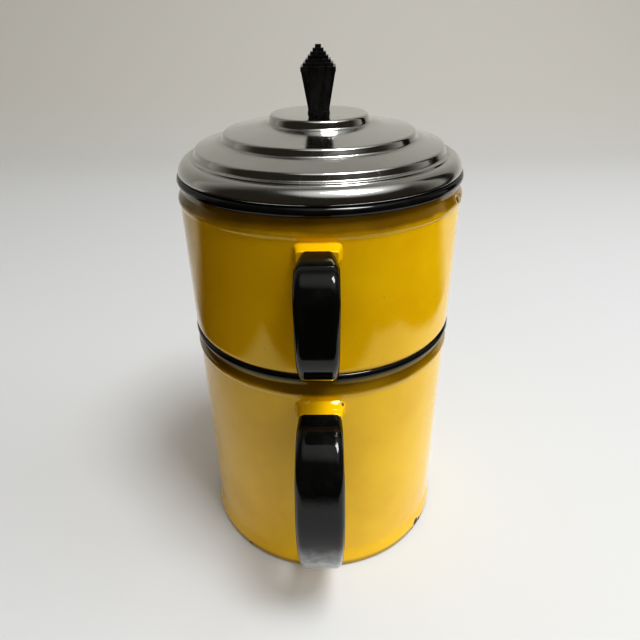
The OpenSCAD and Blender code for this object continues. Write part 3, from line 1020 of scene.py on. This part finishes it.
class COFFEE_OT_pot_shell(bpy.types.Operator):
    """Build the serving pot's wall: flared foot, ridge, cove and spout hole"""

    bl_idname = "coffee.pot_shell"
    bl_label = "Pot shell"

    def execute(self, context):
        sizes = context.scene.coffee_pot_sizes
        flare_top = 11 * MM
        foot = []
        for z in spread(1.2 * MM, flare_top, 14):
            open_out = 1 - smooth_step((z - 2.4 * MM) / (flare_top - 2.4 * MM))
            foot.append((POT_R + (FOOT_R - POT_R) * open_out, z))
        outline = foot + neck_outline(POT_R, POT_BEAD, flare_top)
        made = turn("pot_shell", shell(outline, sizes.wall), yellow_enamel(), sizes.segments)
        bpy.ops.mesh.primitive_cylinder_add(
            vertices=48, radius=SPOUT_HOLE_R, depth=20 * MM, rotation=(math.pi / 2, 0, 0),
            location=(0, POT_R, SPOUT_HOLE_Z),
        )
        made = cut_away(made, context.active_object)
        hand_formed(made, sizes.unevenness, FORMING_WAVE)
        smooth_by_angle(made, 50)
        made = even_normals(made)
        finish(made, "pot", ["pot_body"])
        return {"FINISHED"}


class COFFEE_OT_pot_base(bpy.types.Operator):
    """Build the seamed base: a raised panel, a flat foot ring and a folded seam"""

    bl_idname = "coffee.pot_base"
    bl_label = "Pot base"

    def execute(self, context):
        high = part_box("pot_base")[1]
        wall = context.scene.coffee_pot_sizes.wall
        panel_r = 49 * MM
        panel_z = 1.6 * MM
        outline = rounded([
            (0.0, panel_z + 0.2 * MM, 0), (panel_r, panel_z, 1.2 * MM),
            (panel_r + 2 * MM, 0.0, 0.8 * MM), (high.x, 0.0, 0.9 * MM),
            (high.x, high.z, 0.5 * MM), (FOOT_R + 0.1 * MM, high.z, 0.2 * MM),
            (FOOT_R - 0.1 * MM, wall, 0.2 * MM), (panel_r + 1.6 * MM, wall, 0.6 * MM),
            (panel_r - 0.4 * MM, panel_z + wall, 0.8 * MM), (0.0, panel_z + wall, 0),
        ])
        made = turn("pot_foot", outline, yellow_enamel(), 192)
        smooth_by_angle(made, 50)
        finish(even_normals(made), "pot", ["pot_base"])
        return {"FINISHED"}


class COFFEE_OT_beads(bpy.types.Operator):
    """Build the two black rolled beads round the mouths"""

    bl_idname = "coffee.beads"
    bl_label = "Rim beads"

    def execute(self, context):
        sizes = context.scene.coffee_pot_sizes
        for name, bead, body, node in (
            ("pot_bead", POT_BEAD, "pot", "pot_rim"),
            ("filter_bead", FILTER_BEAD, "filter", "filter_rim"),
        ):
            outline = arc(bead[:2], bead[2], 0, 352.5, 47)
            made = turn(name, outline, black_enamel(), sizes.segments)
            hand_formed(made, sizes.unevenness, FORMING_WAVE)
            smooth_by_angle(made, 60)
            finish(made, body, [node])
        return {"FINISHED"}


SPOUT_ROOT = Vector((50 * MM, 52 * MM))
SPOUT_ELBOW = Vector((80 * MM, 56 * MM))
SPOUT_MOUTH = Vector((102 * MM, SPOUT_TOP))
SPOUT_ROOT_HALF = 15 * MM
SPOUT_MOUTH_HALF = 6.5 * MM


def spout_ring(t, depth, sides=48):
    """One oval ring of the spout: upright at the root, level at the mouth."""
    middle = (1 - t) ** 2 * SPOUT_ROOT + 2 * t * (1 - t) * SPOUT_ELBOW + t * t * SPOUT_MOUTH
    half = SPOUT_ROOT_HALF + (SPOUT_MOUTH_HALF - SPOUT_ROOT_HALF) * t
    tall = half * (1.5 - 0.5 * t)
    lean = math.radians(90 * t)
    points = []
    for i in range(sides):
        a = 2 * math.pi * i / sides
        up = (tall - depth) * math.sin(a)
        across = (half - depth) * math.cos(a)
        points.append((across, middle.x - up * math.sin(lean), middle.y + up * math.cos(lean)))
    return points


class COFFEE_OT_spout(bpy.types.Operator):
    """Build the swept spout, its flared seam on the wall and its black mouth bead"""

    bl_idname = "coffee.spout"
    bl_label = "Spout"

    def execute(self, context):
        wall = context.scene.coffee_pot_sizes.wall
        start = 0.125
        steps = 36
        flare = 1.3 * MM
        flare_reach = 1.6 * MM
        along = [start + (1 - start) * k / steps for k in range(steps + 1)]
        rings = []
        for t in along:
            middle_y = spout_ring(t, 0)[0][1]
            near = math.exp(-max(middle_y - POT_R, 0.0) / flare_reach)
            rings.append(spout_ring(t, -flare * near))
        rings += [spout_ring(t, wall) for t in reversed(along)]
        made = loft("spout", rings, close_ends=False)
        bpy.ops.mesh.primitive_cylinder_add(
            vertices=256, radius=POT_R - 0.5 * wall, depth=0.3, location=(0, 0, 0.05)
        )
        made = cut_away(made, context.active_object)
        smooth_by_angle(made, 45)
        finish(made, "pot", ["pot_spout"], yellow_enamel())

        lip_r = 0.9 * MM
        middle = SPOUT_MOUTH_HALF - wall / 2
        lip = turn("spout_lip", arc((middle, -lip_r * 0.4), lip_r, 0, 345, 23),
                   black_enamel(), 64)
        lip.data.transform(Matrix.Translation((0, SPOUT_MOUTH.x, SPOUT_TOP)))
        smooth_by_angle(lip, 60)
        finish(lip, "pot", [])
        return {"FINISHED"}


# ---------------------------------------------------------------- handles

def strap_side(turns, start, end, middle):
    """A strap's middle line, as (distance from the axis, height), from its outer bends.

    turns holds (centre, outer radius, first angle, last angle) for each bend.
    """
    points = [start]
    for centre, radius, first, last in turns:
        points += arc(centre, radius - middle, first, last, 14)
    points.append(end)
    return points


# Degrees that the pot handle leans in above its widest point, and where its low sweep ends
GRIP_LEAN = 6
SWEEP_END = 35.7


def handle_paths():
    """Each handle's name, CAD node, body, middle line and strap sizes, from its CAD box."""
    low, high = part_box("pot_handle")
    thick = 6 * MM
    reach = -low.y
    top = high.z
    sweep = 61 * MM
    curl = 28 * MM
    bend = 20 * MM
    back = 65 * MM
    turned = math.radians(SWEEP_END)
    sweep_c = Vector((reach - sweep, back))
    curl_c = sweep_c + (sweep - curl) * Vector((math.cos(turned), -math.sin(turned)))
    lug = -high.y - 1.5 * MM
    lean = math.radians(GRIP_LEAN)
    # The straight stretch from the sweep's upper end to the upper bend
    rise = (top - bend + bend * math.sin(lean) - back - sweep * math.sin(lean)) / math.cos(lean)
    bend_r = reach - sweep + (sweep - bend) * math.cos(lean) - rise * math.sin(lean)
    pot = strap_side(
        [((bend_r, top - bend), bend, 90, GRIP_LEAN), (sweep_c, sweep, GRIP_LEAN, -SWEEP_END),
         (curl_c, curl, -SWEEP_END, -84)],
        (lug, top - thick / 2), (lug, curl_c.y - curl + thick / 2), thick / 2,
    )
    yield "pot_grip", "pot_handle", "pot", pot, dict(
        width=high.x - low.x, thickness=thick, widest_height=70 * MM, half_length=48 * MM,
        narrowing=0.15, root=lug, root_narrowing=0.05,
    )
    low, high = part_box("filter_handle")
    thick = 5.5 * MM
    reach = -low.y
    top = high.z
    bend = 11 * MM
    curl = 22.5 * MM
    lug = -high.y - 1.5 * MM
    bottom = low.z
    upper = strap_side(
        [((reach - bend, top - bend), bend, 90, 0),
         ((reach - curl, bottom + curl), curl, 0, -88)],
        (lug, top - thick / 2), (lug, bottom + thick / 2), thick / 2,
    )
    yield "filter_grip", "filter_handle", "filter", upper, dict(
        width=high.x - low.x, thickness=thick, widest_height=160 * MM, half_length=35 * MM,
        narrowing=0.12, root=lug, root_narrowing=0.24,
    )


class COFFEE_OT_handles(bpy.types.Operator):
    """Build the two black strap handles along their bent paths"""

    bl_idname = "coffee.handles"
    bl_label = "Handles"

    def execute(self, context):
        crown = context.scene.coffee_pot_sizes.crown
        for name, node, body, path, strap in handle_paths():
            source = curve_object(name + "_path", [(0.0, -r, z) for r, z in path], False)
            add_tree(
                source, strap_tree(), black_enamel(), crown=crown,
                edge_radius=0.44 * strap["thickness"], root_reach=11 * MM, **strap,
            )
            made = plain_mesh(source, name)
            close_up(made)
            smooth_by_angle(made, 50)
            finish(made, body, [node])
        return {"FINISHED"}


class COFFEE_OT_lugs(bpy.types.Operator):
    """Build the four flared roots that join the handles to the walls"""

    bl_idname = "coffee.lugs"
    bl_label = "Handle lugs"

    def execute(self, context):
        for node, wall_r, body in (
            ("pot_handle_top_lug", POT_R, "pot"), ("pot_handle_bottom_lug", POT_R, "pot"),
            ("filter_handle_top_lug", FILTER_R, "filter"),
            ("filter_handle_bottom_lug", FILTER_R, "filter"),
        ):
            low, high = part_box(node)
            end = -low.y
            middle_z = (low.z + high.z) / 2
            half_w = (high.x - low.x) / 2
            half_t = (high.z - low.z) / 2
            rings = []
            steps = 12
            # Past this share of its length the lug's end rounds over
            tip_t = 0.86
            for k in range(steps + 1):
                t = k / steps
                flare = (1 - t) ** 3
                over = max(t - tip_t, 0.0) / 0.14
                tip = math.sqrt(max(0.0, 1 - over ** 2))
                w = (half_w - 1.1 * MM + 2.6 * MM * flare) * (0.94 + 0.06 * tip)
                h = (half_t - 0.6 * MM + 3.2 * MM * flare) * (0.88 + 0.12 * tip)
                ring = []
                for x, z in rounded_oblong(w, h, 7.0 - 3.4 * flare):
                    root = math.sqrt(wall_r ** 2 - x ** 2) - 0.4 * MM
                    ring.append((x, -(root + (end - root) * t), middle_z + z))
                rings.append(ring)
            made = loft(node.replace("handle", "grip"), rings)
            smooth_by_angle(made, 55)
            finish(even_normals(made), body, [node], yellow_enamel())
        return {"FINISHED"}


# ---------------------------------------------------------------- the filter vessel

class COFFEE_OT_filter_shell(bpy.types.Operator):
    """Build the filter vessel's wall: spigot, rounded seat, ridge and cove"""

    bl_idname = "coffee.filter_shell"
    bl_label = "Filter shell"

    def execute(self, context):
        sizes = context.scene.coffee_pot_sizes
        spigot_r = STRAINER_R + 1.2 * MM
        edge_r = 2.4 * MM
        spigot_h = 11 * MM
        seat_c = SPIGOT_Z + spigot_h + edge_r
        outline = rounded([
            (spigot_r, SPIGOT_Z, 0), (spigot_r, seat_c - edge_r, 0.5 * MM),
            (FILTER_R - edge_r, seat_c - edge_r, 0),
        ])
        outline += arc((FILTER_R - edge_r, seat_c), edge_r, -82, 0, 10)
        outline += neck_outline(FILTER_R, FILTER_BEAD, seat_c + 1 * MM)
        made = turn("filter_shell", shell(outline, sizes.wall), yellow_enamel(), sizes.segments)
        hand_formed(made, sizes.unevenness, FORMING_WAVE)
        smooth_by_angle(made, 50)
        finish(even_normals(made), "filter", ["filter_body"])
        return {"FINISHED"}


class COFFEE_OT_strainer(bpy.types.Operator):
    """Build the filter vessel's perforated floor"""

    bl_idname = "coffee.strainer"
    bl_label = "Strainer"

    def execute(self, context):
        sizes = context.scene.coffee_pot_sizes
        low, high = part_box("filter_strainer")
        outline = rounded([
            (0.0, low.z, 0), (high.x, low.z, 0.3 * MM), (high.x, high.z, 0.3 * MM),
            (0.0, high.z, 0),
        ], 3)
        margin = 6 * MM
        made = perforate(
            "strainer", outline, yellow_enamel(), pitch=(high.x - margin) / HOLE_RINGS,
            hole_radius=sizes.hole, height=low.z, depth=6 * MM,
        )
        finish(made, "filter", ["filter_strainer"])
        return {"FINISHED"}


# ---------------------------------------------------------------- the spreader

class COFFEE_OT_spreader(bpy.types.Operator):
    """Build the loose water spreader: perforated pan, rivet and lifting knob"""

    bl_idname = "coffee.spreader"
    bl_label = "Water spreader"

    def execute(self, context):
        sizes = context.scene.coffee_pot_sizes
        low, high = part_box("spreader_plate")
        sheet = 0.8 * MM
        bore = 1.7 * MM
        pan = rounded([
            (bore, low.z, 0), (high.x, low.z, 1.2 * MM), (high.x, high.z, 0.35 * MM),
            (high.x - sheet, high.z, 0.35 * MM), (high.x - sheet, low.z + sheet, 0.6 * MM),
            (bore, low.z + sheet, 0),
        ])
        margin = 5 * MM
        made = perforate(
            "spreader_pan", pan, bare_steel(), pitch=(high.x - margin) / HOLE_RINGS,
            hole_radius=sizes.spreader_hole, height=low.z, depth=3 * MM,
        )
        finish(made, "spreader", ["spreader_plate"])

        low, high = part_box("spreader_stem")
        head_r = high.x
        shank_r = head_r / 2
        rivet = turn("spreader_rivet", rounded([
            (0.0, low.z, 0), (head_r, low.z + 0.1 * MM, 0.5 * MM), (head_r, low.z + 1 * MM, 0.1 * MM),
            (shank_r, low.z + 1 * MM, 0), (shank_r, high.z, 0.4 * MM), (0.0, high.z, 0),
        ]), bare_steel(), 48)
        smooth_by_angle(rivet, 40)
        finish(rivet, "spreader", ["spreader_stem"])

        low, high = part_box("spreader_knob")
        ball = high.x - 3 * MM
        knob = turn("spreader_lift", rounded([
            (1.65 * MM, low.z, 0), (5 * MM, low.z, 0.4 * MM), (5 * MM, low.z + 1 * MM, 0.4 * MM),
            (3 * MM, low.z + 4 * MM, 1.5 * MM), (3 * MM, high.z - 9.5 * MM, 1.0 * MM),
        ])[:-1] + arc((3 * MM, high.z - 5 * MM), ball, -62, 66, 16) + [
            (2.2 * MM, high.z), (0.0, high.z + 0.1 * MM), (0.0, high.z - 4 * MM),
            (1.65 * MM, high.z - 4 * MM),
        ], bare_steel(), 64)
        smooth_by_angle(knob, 40)
        finish(knob, "spreader", ["spreader_knob"])
        return {"FINISHED"}


# ---------------------------------------------------------------- the lid

def lid_outline():
    """The lid's upper face from the middle out: three steps, a ledge and a round skirt."""
    edge = LID_HIGH.x
    top = LID_HIGH.z
    skirt = 5.7 * MM
    corners = [(1.5 * MM, top + 0.05 * MM, 0)]
    for inset, drop, fillet in LID_STEPS:
        corners.append((edge - inset, top - drop, fillet))
    corners += [
        (edge - 5.55 * MM, top - 14.85 * MM, 0.3 * MM), (edge - 5.25 * MM, top - 15.55 * MM, 0.3 * MM),
        (edge - 4.4 * MM, LID_LOW.z + 5.63 * MM, 0),
    ]
    return rounded(corners) + arc((edge - skirt, LID_LOW.z), skirt, 74, 4, 18)


class COFFEE_OT_lid(bpy.types.Operator):
    """Build the stepped lid with its rolled lower edge"""

    bl_idname = "coffee.lid"
    bl_label = "Lid"

    def execute(self, context):
        sizes = context.scene.coffee_pot_sizes
        outer = lid_outline()
        inner = inward(outer, sizes.lid_sheet)
        hem = 0.42 * MM
        hem_c = (LID_HIGH.x - hem, LID_LOW.z + hem)
        outline = outer + arc(hem_c, hem, 0, -180, 8) + inner[::-1]
        made = turn("lid_dome", outline, lid_chrome(), sizes.segments)
        hand_formed(made, 0.6 * sizes.unevenness, 40 * MM)
        smooth_by_angle(made, 50)
        finish(even_normals(made), "lid", ["lid_shell"])
        return {"FINISHED"}


class COFFEE_OT_collar(bpy.types.Operator):
    """Build the ring under the lid that finds the filter vessel's mouth"""

    bl_idname = "coffee.collar"
    bl_label = "Lid collar"

    def execute(self, context):
        low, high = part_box("lid_collar")
        sheet = 0.6 * MM
        outline = rounded([
            (high.x - 0.4 * MM, high.z, 0), (high.x, high.z - 1.2 * MM, 0.5 * MM),
            (high.x, low.z, 0.28 * MM), (high.x - sheet, low.z, 0.28 * MM),
            (high.x - sheet, high.z - 1.2 * MM, 0.5 * MM), (high.x - sheet - 0.3 * MM, high.z, 0),
        ])
        made = turn("lid_ring", outline, bare_steel(), 160)
        smooth_by_angle(made, 50)
        finish(even_normals(made), "lid", ["lid_collar"])
        return {"FINISHED"}


def rebated_ring(half, cut, z):
    """A square with stepped corners, as a ring of points at height z."""
    a = half
    b = half - cut
    quarter = [(a, -b), (a, b), (b, b)]
    ring = []
    for k in range(4):
        c = math.cos(math.pi * k / 2)
        s = math.sin(math.pi * k / 2)
        ring += [(x * c - y * s, x * s + y * c, z) for x, y in quarter]
    return ring


class COFFEE_OT_knob(bpy.types.Operator):
    """Build the moulded knob: a rebated square shaft that widens under a stepped pyramid"""

    bl_idname = "coffee.knob"
    bl_label = "Lid knob"

    steps: bpy.props.IntProperty(
        name="Steps", description="Steps in the knob's pyramid", min=4, max=9, default=7
    )

    def execute(self, context):
        base = KNOB_LOW.z
        half = (KNOB_HIGH.x - KNOB_LOW.x) / 2
        foot = 4.2 * MM
        plinth = foot + 0.35 * MM
        plinth_z = base + 0.9 * MM
        lip_z = base + 16.2 * MM
        peak_z = base + 16.6 * MM
        peak = 1.2 * MM
        # How deep a corner is cut: a share of the shaft's width, and a trace on the pyramid
        rebate = 0.108
        arris = 0.05 * MM
        rings = []
        for z, w in ((base, plinth), (plinth_z, plinth), (plinth_z, foot), (lip_z, half - 0.12 * MM)):
            rings.append(rebated_ring(w, rebate * w * 2, z))
        rings.append(rebated_ring(half, arris, lip_z))
        rise = (KNOB_HIGH.z - peak_z) / self.steps
        for k in range(self.steps):
            w = half + (peak - half) * k / (self.steps - 1)
            low = peak_z + k * rise
            if k:
                rings.append(rebated_ring(w, arris, low))
            rings.append(rebated_ring(w, arris, low + rise))
        made = loft("knob", rings)
        round_off = made.modifiers.new("edges", "BEVEL")
        round_off.width = 0.14 * MM
        round_off.segments = 2
        round_off.limit_method = "ANGLE"
        round_off.angle_limit = math.radians(28)
        round_off.harden_normals = False
        made = plain_mesh(made, "knob")
        close_up(made)
        smooth_by_angle(made, 40)
        finish(even_normals(made), "lid", ["lid_knob"], bakelite())
        return {"FINISHED"}


class COFFEE_OT_knob_fixings(bpy.types.Operator):
    """Build what fastens the knob: its brass bush, the washer and the slotted screw"""

    bl_idname = "coffee.knob_fixings"
    bl_label = "Knob fixings"

    def execute(self, context):
        low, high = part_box("knob_insert")
        bore = 1.5 * MM
        grooved = [(bore, low.z, 0), (high.x, low.z, 0.2 * MM)]
        for k in range(1, 6):
            z = low.z + (high.z - low.z) * k / 6
            grooved += [(high.x, z - 0.3 * MM, 0.05 * MM), (high.x - 0.25 * MM, z, 0.05 * MM),
                        (high.x, z + 0.3 * MM, 0.05 * MM)]
        grooved += [(high.x, high.z, 0.2 * MM), (bore, high.z, 0)]
        bush = turn("knob_bush", rounded(grooved, 2), machined_brass(), 48)
        smooth_by_angle(bush, 35)
        finish(bush, "lid", ["knob_insert"])

        low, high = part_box("knob_washer")
        washer = turn("knob_ring", rounded([
            (bore, low.z, 0), (high.x, low.z, 0.25 * MM), (high.x, high.z, 0.25 * MM),
            (bore, high.z, 0),
        ], 4), bare_steel(), 64)
        smooth_by_angle(washer, 35)
        finish(washer, "lid", ["knob_washer"])

        low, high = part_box("knob_screw")
        head_h = 1.8 * MM
        body = turn("knob_bolt", rounded([
            (0.0, low.z, 0), (high.x, low.z + 0.25 * MM, 0.6 * MM), (high.x, low.z + head_h, 0.15 * MM),
            (bore, low.z + head_h, 0), (bore, high.z, 0.3 * MM), (0.0, high.z, 0),
        ], 5), bare_steel(), 64)
        bpy.ops.mesh.primitive_cube_add(size=1, location=(0, 0, low.z))
        slot_tool = context.active_object
        slot_tool.scale = (3 * high.x, 0.8 * MM, 1.6 * MM)
        body = cut_away(body, slot_tool)
        smooth_by_angle(body, 35)
        finish(body, "lid", ["knob_screw"])
        return {"FINISHED"}


# ---------------------------------------------------------------- stage

# How far back the paint starts and ends its change from the table's colour to the wall's
TABLE_END = 0.55
WALL_START = 1.15


def area_light(name, place, aim, size, power, colour):
    """A soft rectangular lamp at a place, turned to face a point."""
    lamp = bpy.data.lights.new(name, "AREA")
    lamp.shape = "RECTANGLE"
    lamp.size, lamp.size_y = size
    lamp.energy = power
    lamp.color = colour
    made = bpy.data.objects.new(name, lamp)
    bpy.context.scene.collection.objects.link(made)
    made.location = place
    made.rotation_euler = (Vector(aim) - Vector(place)).to_track_quat("-Z", "Y").to_euler()
    return made


def sweep_backdrop():
    """A pale floor that turns up smoothly into a wall well behind the object."""
    wall_y = 1.25
    bend = 0.45
    half_width = 3.0
    line = [(-3.0, 0.0), (-1.0, 0.0), (0.3, 0.0)]
    line += arc((wall_y - bend, bend), bend, -90, 0, 24)
    line.append((wall_y, 2.6))
    points = []
    faces = []
    for y, z in line:
        points += [(-half_width, y, z), (half_width, y, z)]
    for k in range(len(line) - 1):
        faces.append((2 * k, 2 * k + 1, 2 * k + 3, 2 * k + 2))
    made = mesh_object("backdrop", points, faces)
    for face in made.data.polygons:
        face.use_smooth = True
    made.data.materials.append(floor_paint())
    return made


def floor_paint():
    """Pale matt paint with a faint glow. Off the table it reflects as a dark room."""
    material, w, shader, place = new_material("floor")
    split = w.split(place)
    seen = w.node("ShaderNodeLightPath").outputs["Is Camera Ray"]
    wall = w.between(split["Y"], TABLE_END, WALL_START)
    paint = w.mix(wall, (0.64, 0.665, 0.70), (0.57, 0.565, 0.54))
    paint = w.mix(w.math("MULTIPLY", seen, 0.15), paint, (0.0, 0.0, 0.0))
    w.put(shader.inputs["Base Color"], paint)
    shader.inputs["Roughness"].default_value = 0.6
    shader.inputs["Emission Color"].default_value = (1.0, 0.97, 0.92, 1.0)
    shader.inputs["Emission Strength"].default_value = 0.08

    # The table's edges, each faded out softly; its right front corner is cut off
    front = w.between(split["Y"], -0.20, -0.23)
    left = w.between(split["X"], -0.19, -0.23)
    right = w.between(split["X"], 0.25, 0.28)
    corner = w.between(w.math("SUBTRACT", split["X"], split["Y"]), 0.39, 0.42)
    near = w.between(split["Y"], 0.22, 0.10)
    beside = w.math("MULTIPLY", w.math("MAXIMUM", left, right), near)
    beyond = w.math("MAXIMUM", w.math("MAXIMUM", front, corner), beside)
    dark = w.node("ShaderNodeBsdfDiffuse")
    dark.inputs["Color"].default_value = (0.02, 0.014, 0.009, 1.0)
    choose = w.node("ShaderNodeMixShader")
    w.put(choose.inputs[0], w.math("MULTIPLY", beyond, w.math("SUBTRACT", 1.0, seen)))
    w.put(choose.inputs[1], shader.outputs[0])
    w.put(choose.inputs[2], dark.outputs[0])
    w.put(material.node_tree.nodes["Material Output"].inputs["Surface"], choose.outputs[0])
    return material


# From the object towards the skylight
SKYLIGHT_WAY = Vector((0.33, -0.30, 1.2))


def room_light():
    """The world: dim in front, paler behind, a glow above, soft fill, plain to the camera."""
    world = bpy.data.worlds.new("room")
    bpy.context.scene.world = world
    world.use_nodes = True
    w = Wiring(world.node_tree)
    shade = world.node_tree.nodes["Background"]
    direction = w.node("ShaderNodeTexCoord").outputs["Generated"]
    split = w.split(direction)
    behind = w.between(split["Y"], -0.15, 0.6)
    above = w.between(split["Z"], 0.55, 1.0)
    wall = w.mix(behind, (0.034, 0.028, 0.021), (0.50, 0.48, 0.44))
    room = w.mix(w.math("MULTIPLY", above, 0.8), wall, (0.04, 0.04, 0.04))
    toward = w.vector("DOT_PRODUCT", direction, SKYLIGHT_WAY.normalized())
    glow = w.between(toward, 0.78, 0.97, 0.0, 1.0)
    room = w.mix(glow, room, (0.80, 0.79, 0.77))
    sideways = w.between(split["X"], -0.55, 0.85)
    fill = w.mix(sideways, (0.165, 0.11, 0.065), (0.80, 0.83, 0.80))
    path = w.node("ShaderNodeLightPath")
    room = w.mix(path.outputs["Is Diffuse Ray"], room, fill)
    w.put(shade.inputs["Color"], w.mix(path.outputs["Is Camera Ray"], room, (0.62, 0.60, 0.58)))
    shade.inputs["Strength"].default_value = 1.0


def aim_camera():
    """The camera, near and above the handles, turned a little about its own line of sight."""
    away = 241.3 * MM
    height = 247.5 * MM
    round_right = math.radians(1.1)
    # In radians: pitch below level, turn to the side, and lean about the line of sight
    down = 0.518
    aside = -0.004
    roll = 0.016
    ahead = Vector((math.sin(aside) * math.cos(down), math.cos(aside) * math.cos(down),
                    -math.sin(down)))
    right = Vector((math.cos(aside), -math.sin(aside), 0))
    up = right.cross(ahead)
    across = math.cos(roll) * right - math.sin(roll) * up
    upward = math.sin(roll) * right + math.cos(roll) * up
    columns = Matrix((across, upward, -ahead)).transposed().to_4x4()
    data = bpy.data.cameras.new("camera")
    data.sensor_width = 36.0
    data.lens = 30.54
    data.clip_start = 0.01
    camera = bpy.data.objects.new("camera", data)
    bpy.context.scene.collection.objects.link(camera)
    camera.matrix_world = (
        Matrix.Rotation(round_right, 4, "Z") @ Matrix.Translation((0, -away, height)) @ columns
    )
    bpy.context.scene.camera = camera


class COFFEE_OT_stage(bpy.types.Operator):
    """Set the plain backdrop, the soft lamps and the camera"""

    bl_idname = "coffee.stage"
    bl_label = "Stage"

    def execute(self, context):
        sweep_backdrop()
        room_light()
        middle = (0.0, 0.0, 0.11)
        area_light("skylight", (0.33, -0.30, 1.28), middle, (0.34, 0.50), 11.5, (1.0, 0.99, 0.97))
        side = area_light("side", (1.15, 0.05, 0.75), middle, (0.7, 0.7), 4.6, (1.0, 0.98, 0.96))
        side.visible_glossy = False
        context.scene.view_settings.view_transform = "Standard"
        context.scene.view_settings.look = "Medium High Contrast"
        aim_camera()
        return {"FINISHED"}


# ---------------------------------------------------------------- panel and running

OPERATORS = (
    COFFEE_OT_stage, COFFEE_OT_pot_shell, COFFEE_OT_pot_base, COFFEE_OT_beads, COFFEE_OT_spout,
    COFFEE_OT_handles, COFFEE_OT_lugs, COFFEE_OT_filter_shell, COFFEE_OT_strainer,
    COFFEE_OT_spreader, COFFEE_OT_lid, COFFEE_OT_collar, COFFEE_OT_knob, COFFEE_OT_knob_fixings,
)


class COFFEE_PT_panel(bpy.types.Panel):
    """The coffee pot's settings and its build steps"""

    bl_idname = "COFFEE_PT_panel"
    bl_label = "Coffee Pot"
    bl_space_type = "VIEW_3D"
    bl_region_type = "UI"
    bl_category = "Coffee Pot"

    def draw(self, context):
        for group in (context.scene.coffee_pot_sizes, context.scene.coffee_pot_finish):
            for name in group.__annotations__:
                self.layout.prop(group, name)
        for operator in OPERATORS:
            self.layout.operator(operator.bl_idname)


CLASSES = (CoffeePotFinish, CoffeePotSizes, *OPERATORS, COFFEE_PT_panel)


def register():
    for cls in CLASSES:
        bpy.utils.register_class(cls)
    bpy.types.Scene.coffee_pot_finish = bpy.props.PointerProperty(type=CoffeePotFinish)
    bpy.types.Scene.coffee_pot_sizes = bpy.props.PointerProperty(type=CoffeePotSizes)


def unregister():
    del bpy.types.Scene.coffee_pot_sizes
    del bpy.types.Scene.coffee_pot_finish
    for cls in reversed(CLASSES):
        bpy.utils.unregister_class(cls)


def main():
    register()
    for operator in OPERATORS:
        family, name = operator.bl_idname.split(".")
        getattr(getattr(bpy.ops, family), name)()


if __name__ == "__main__":
    main()
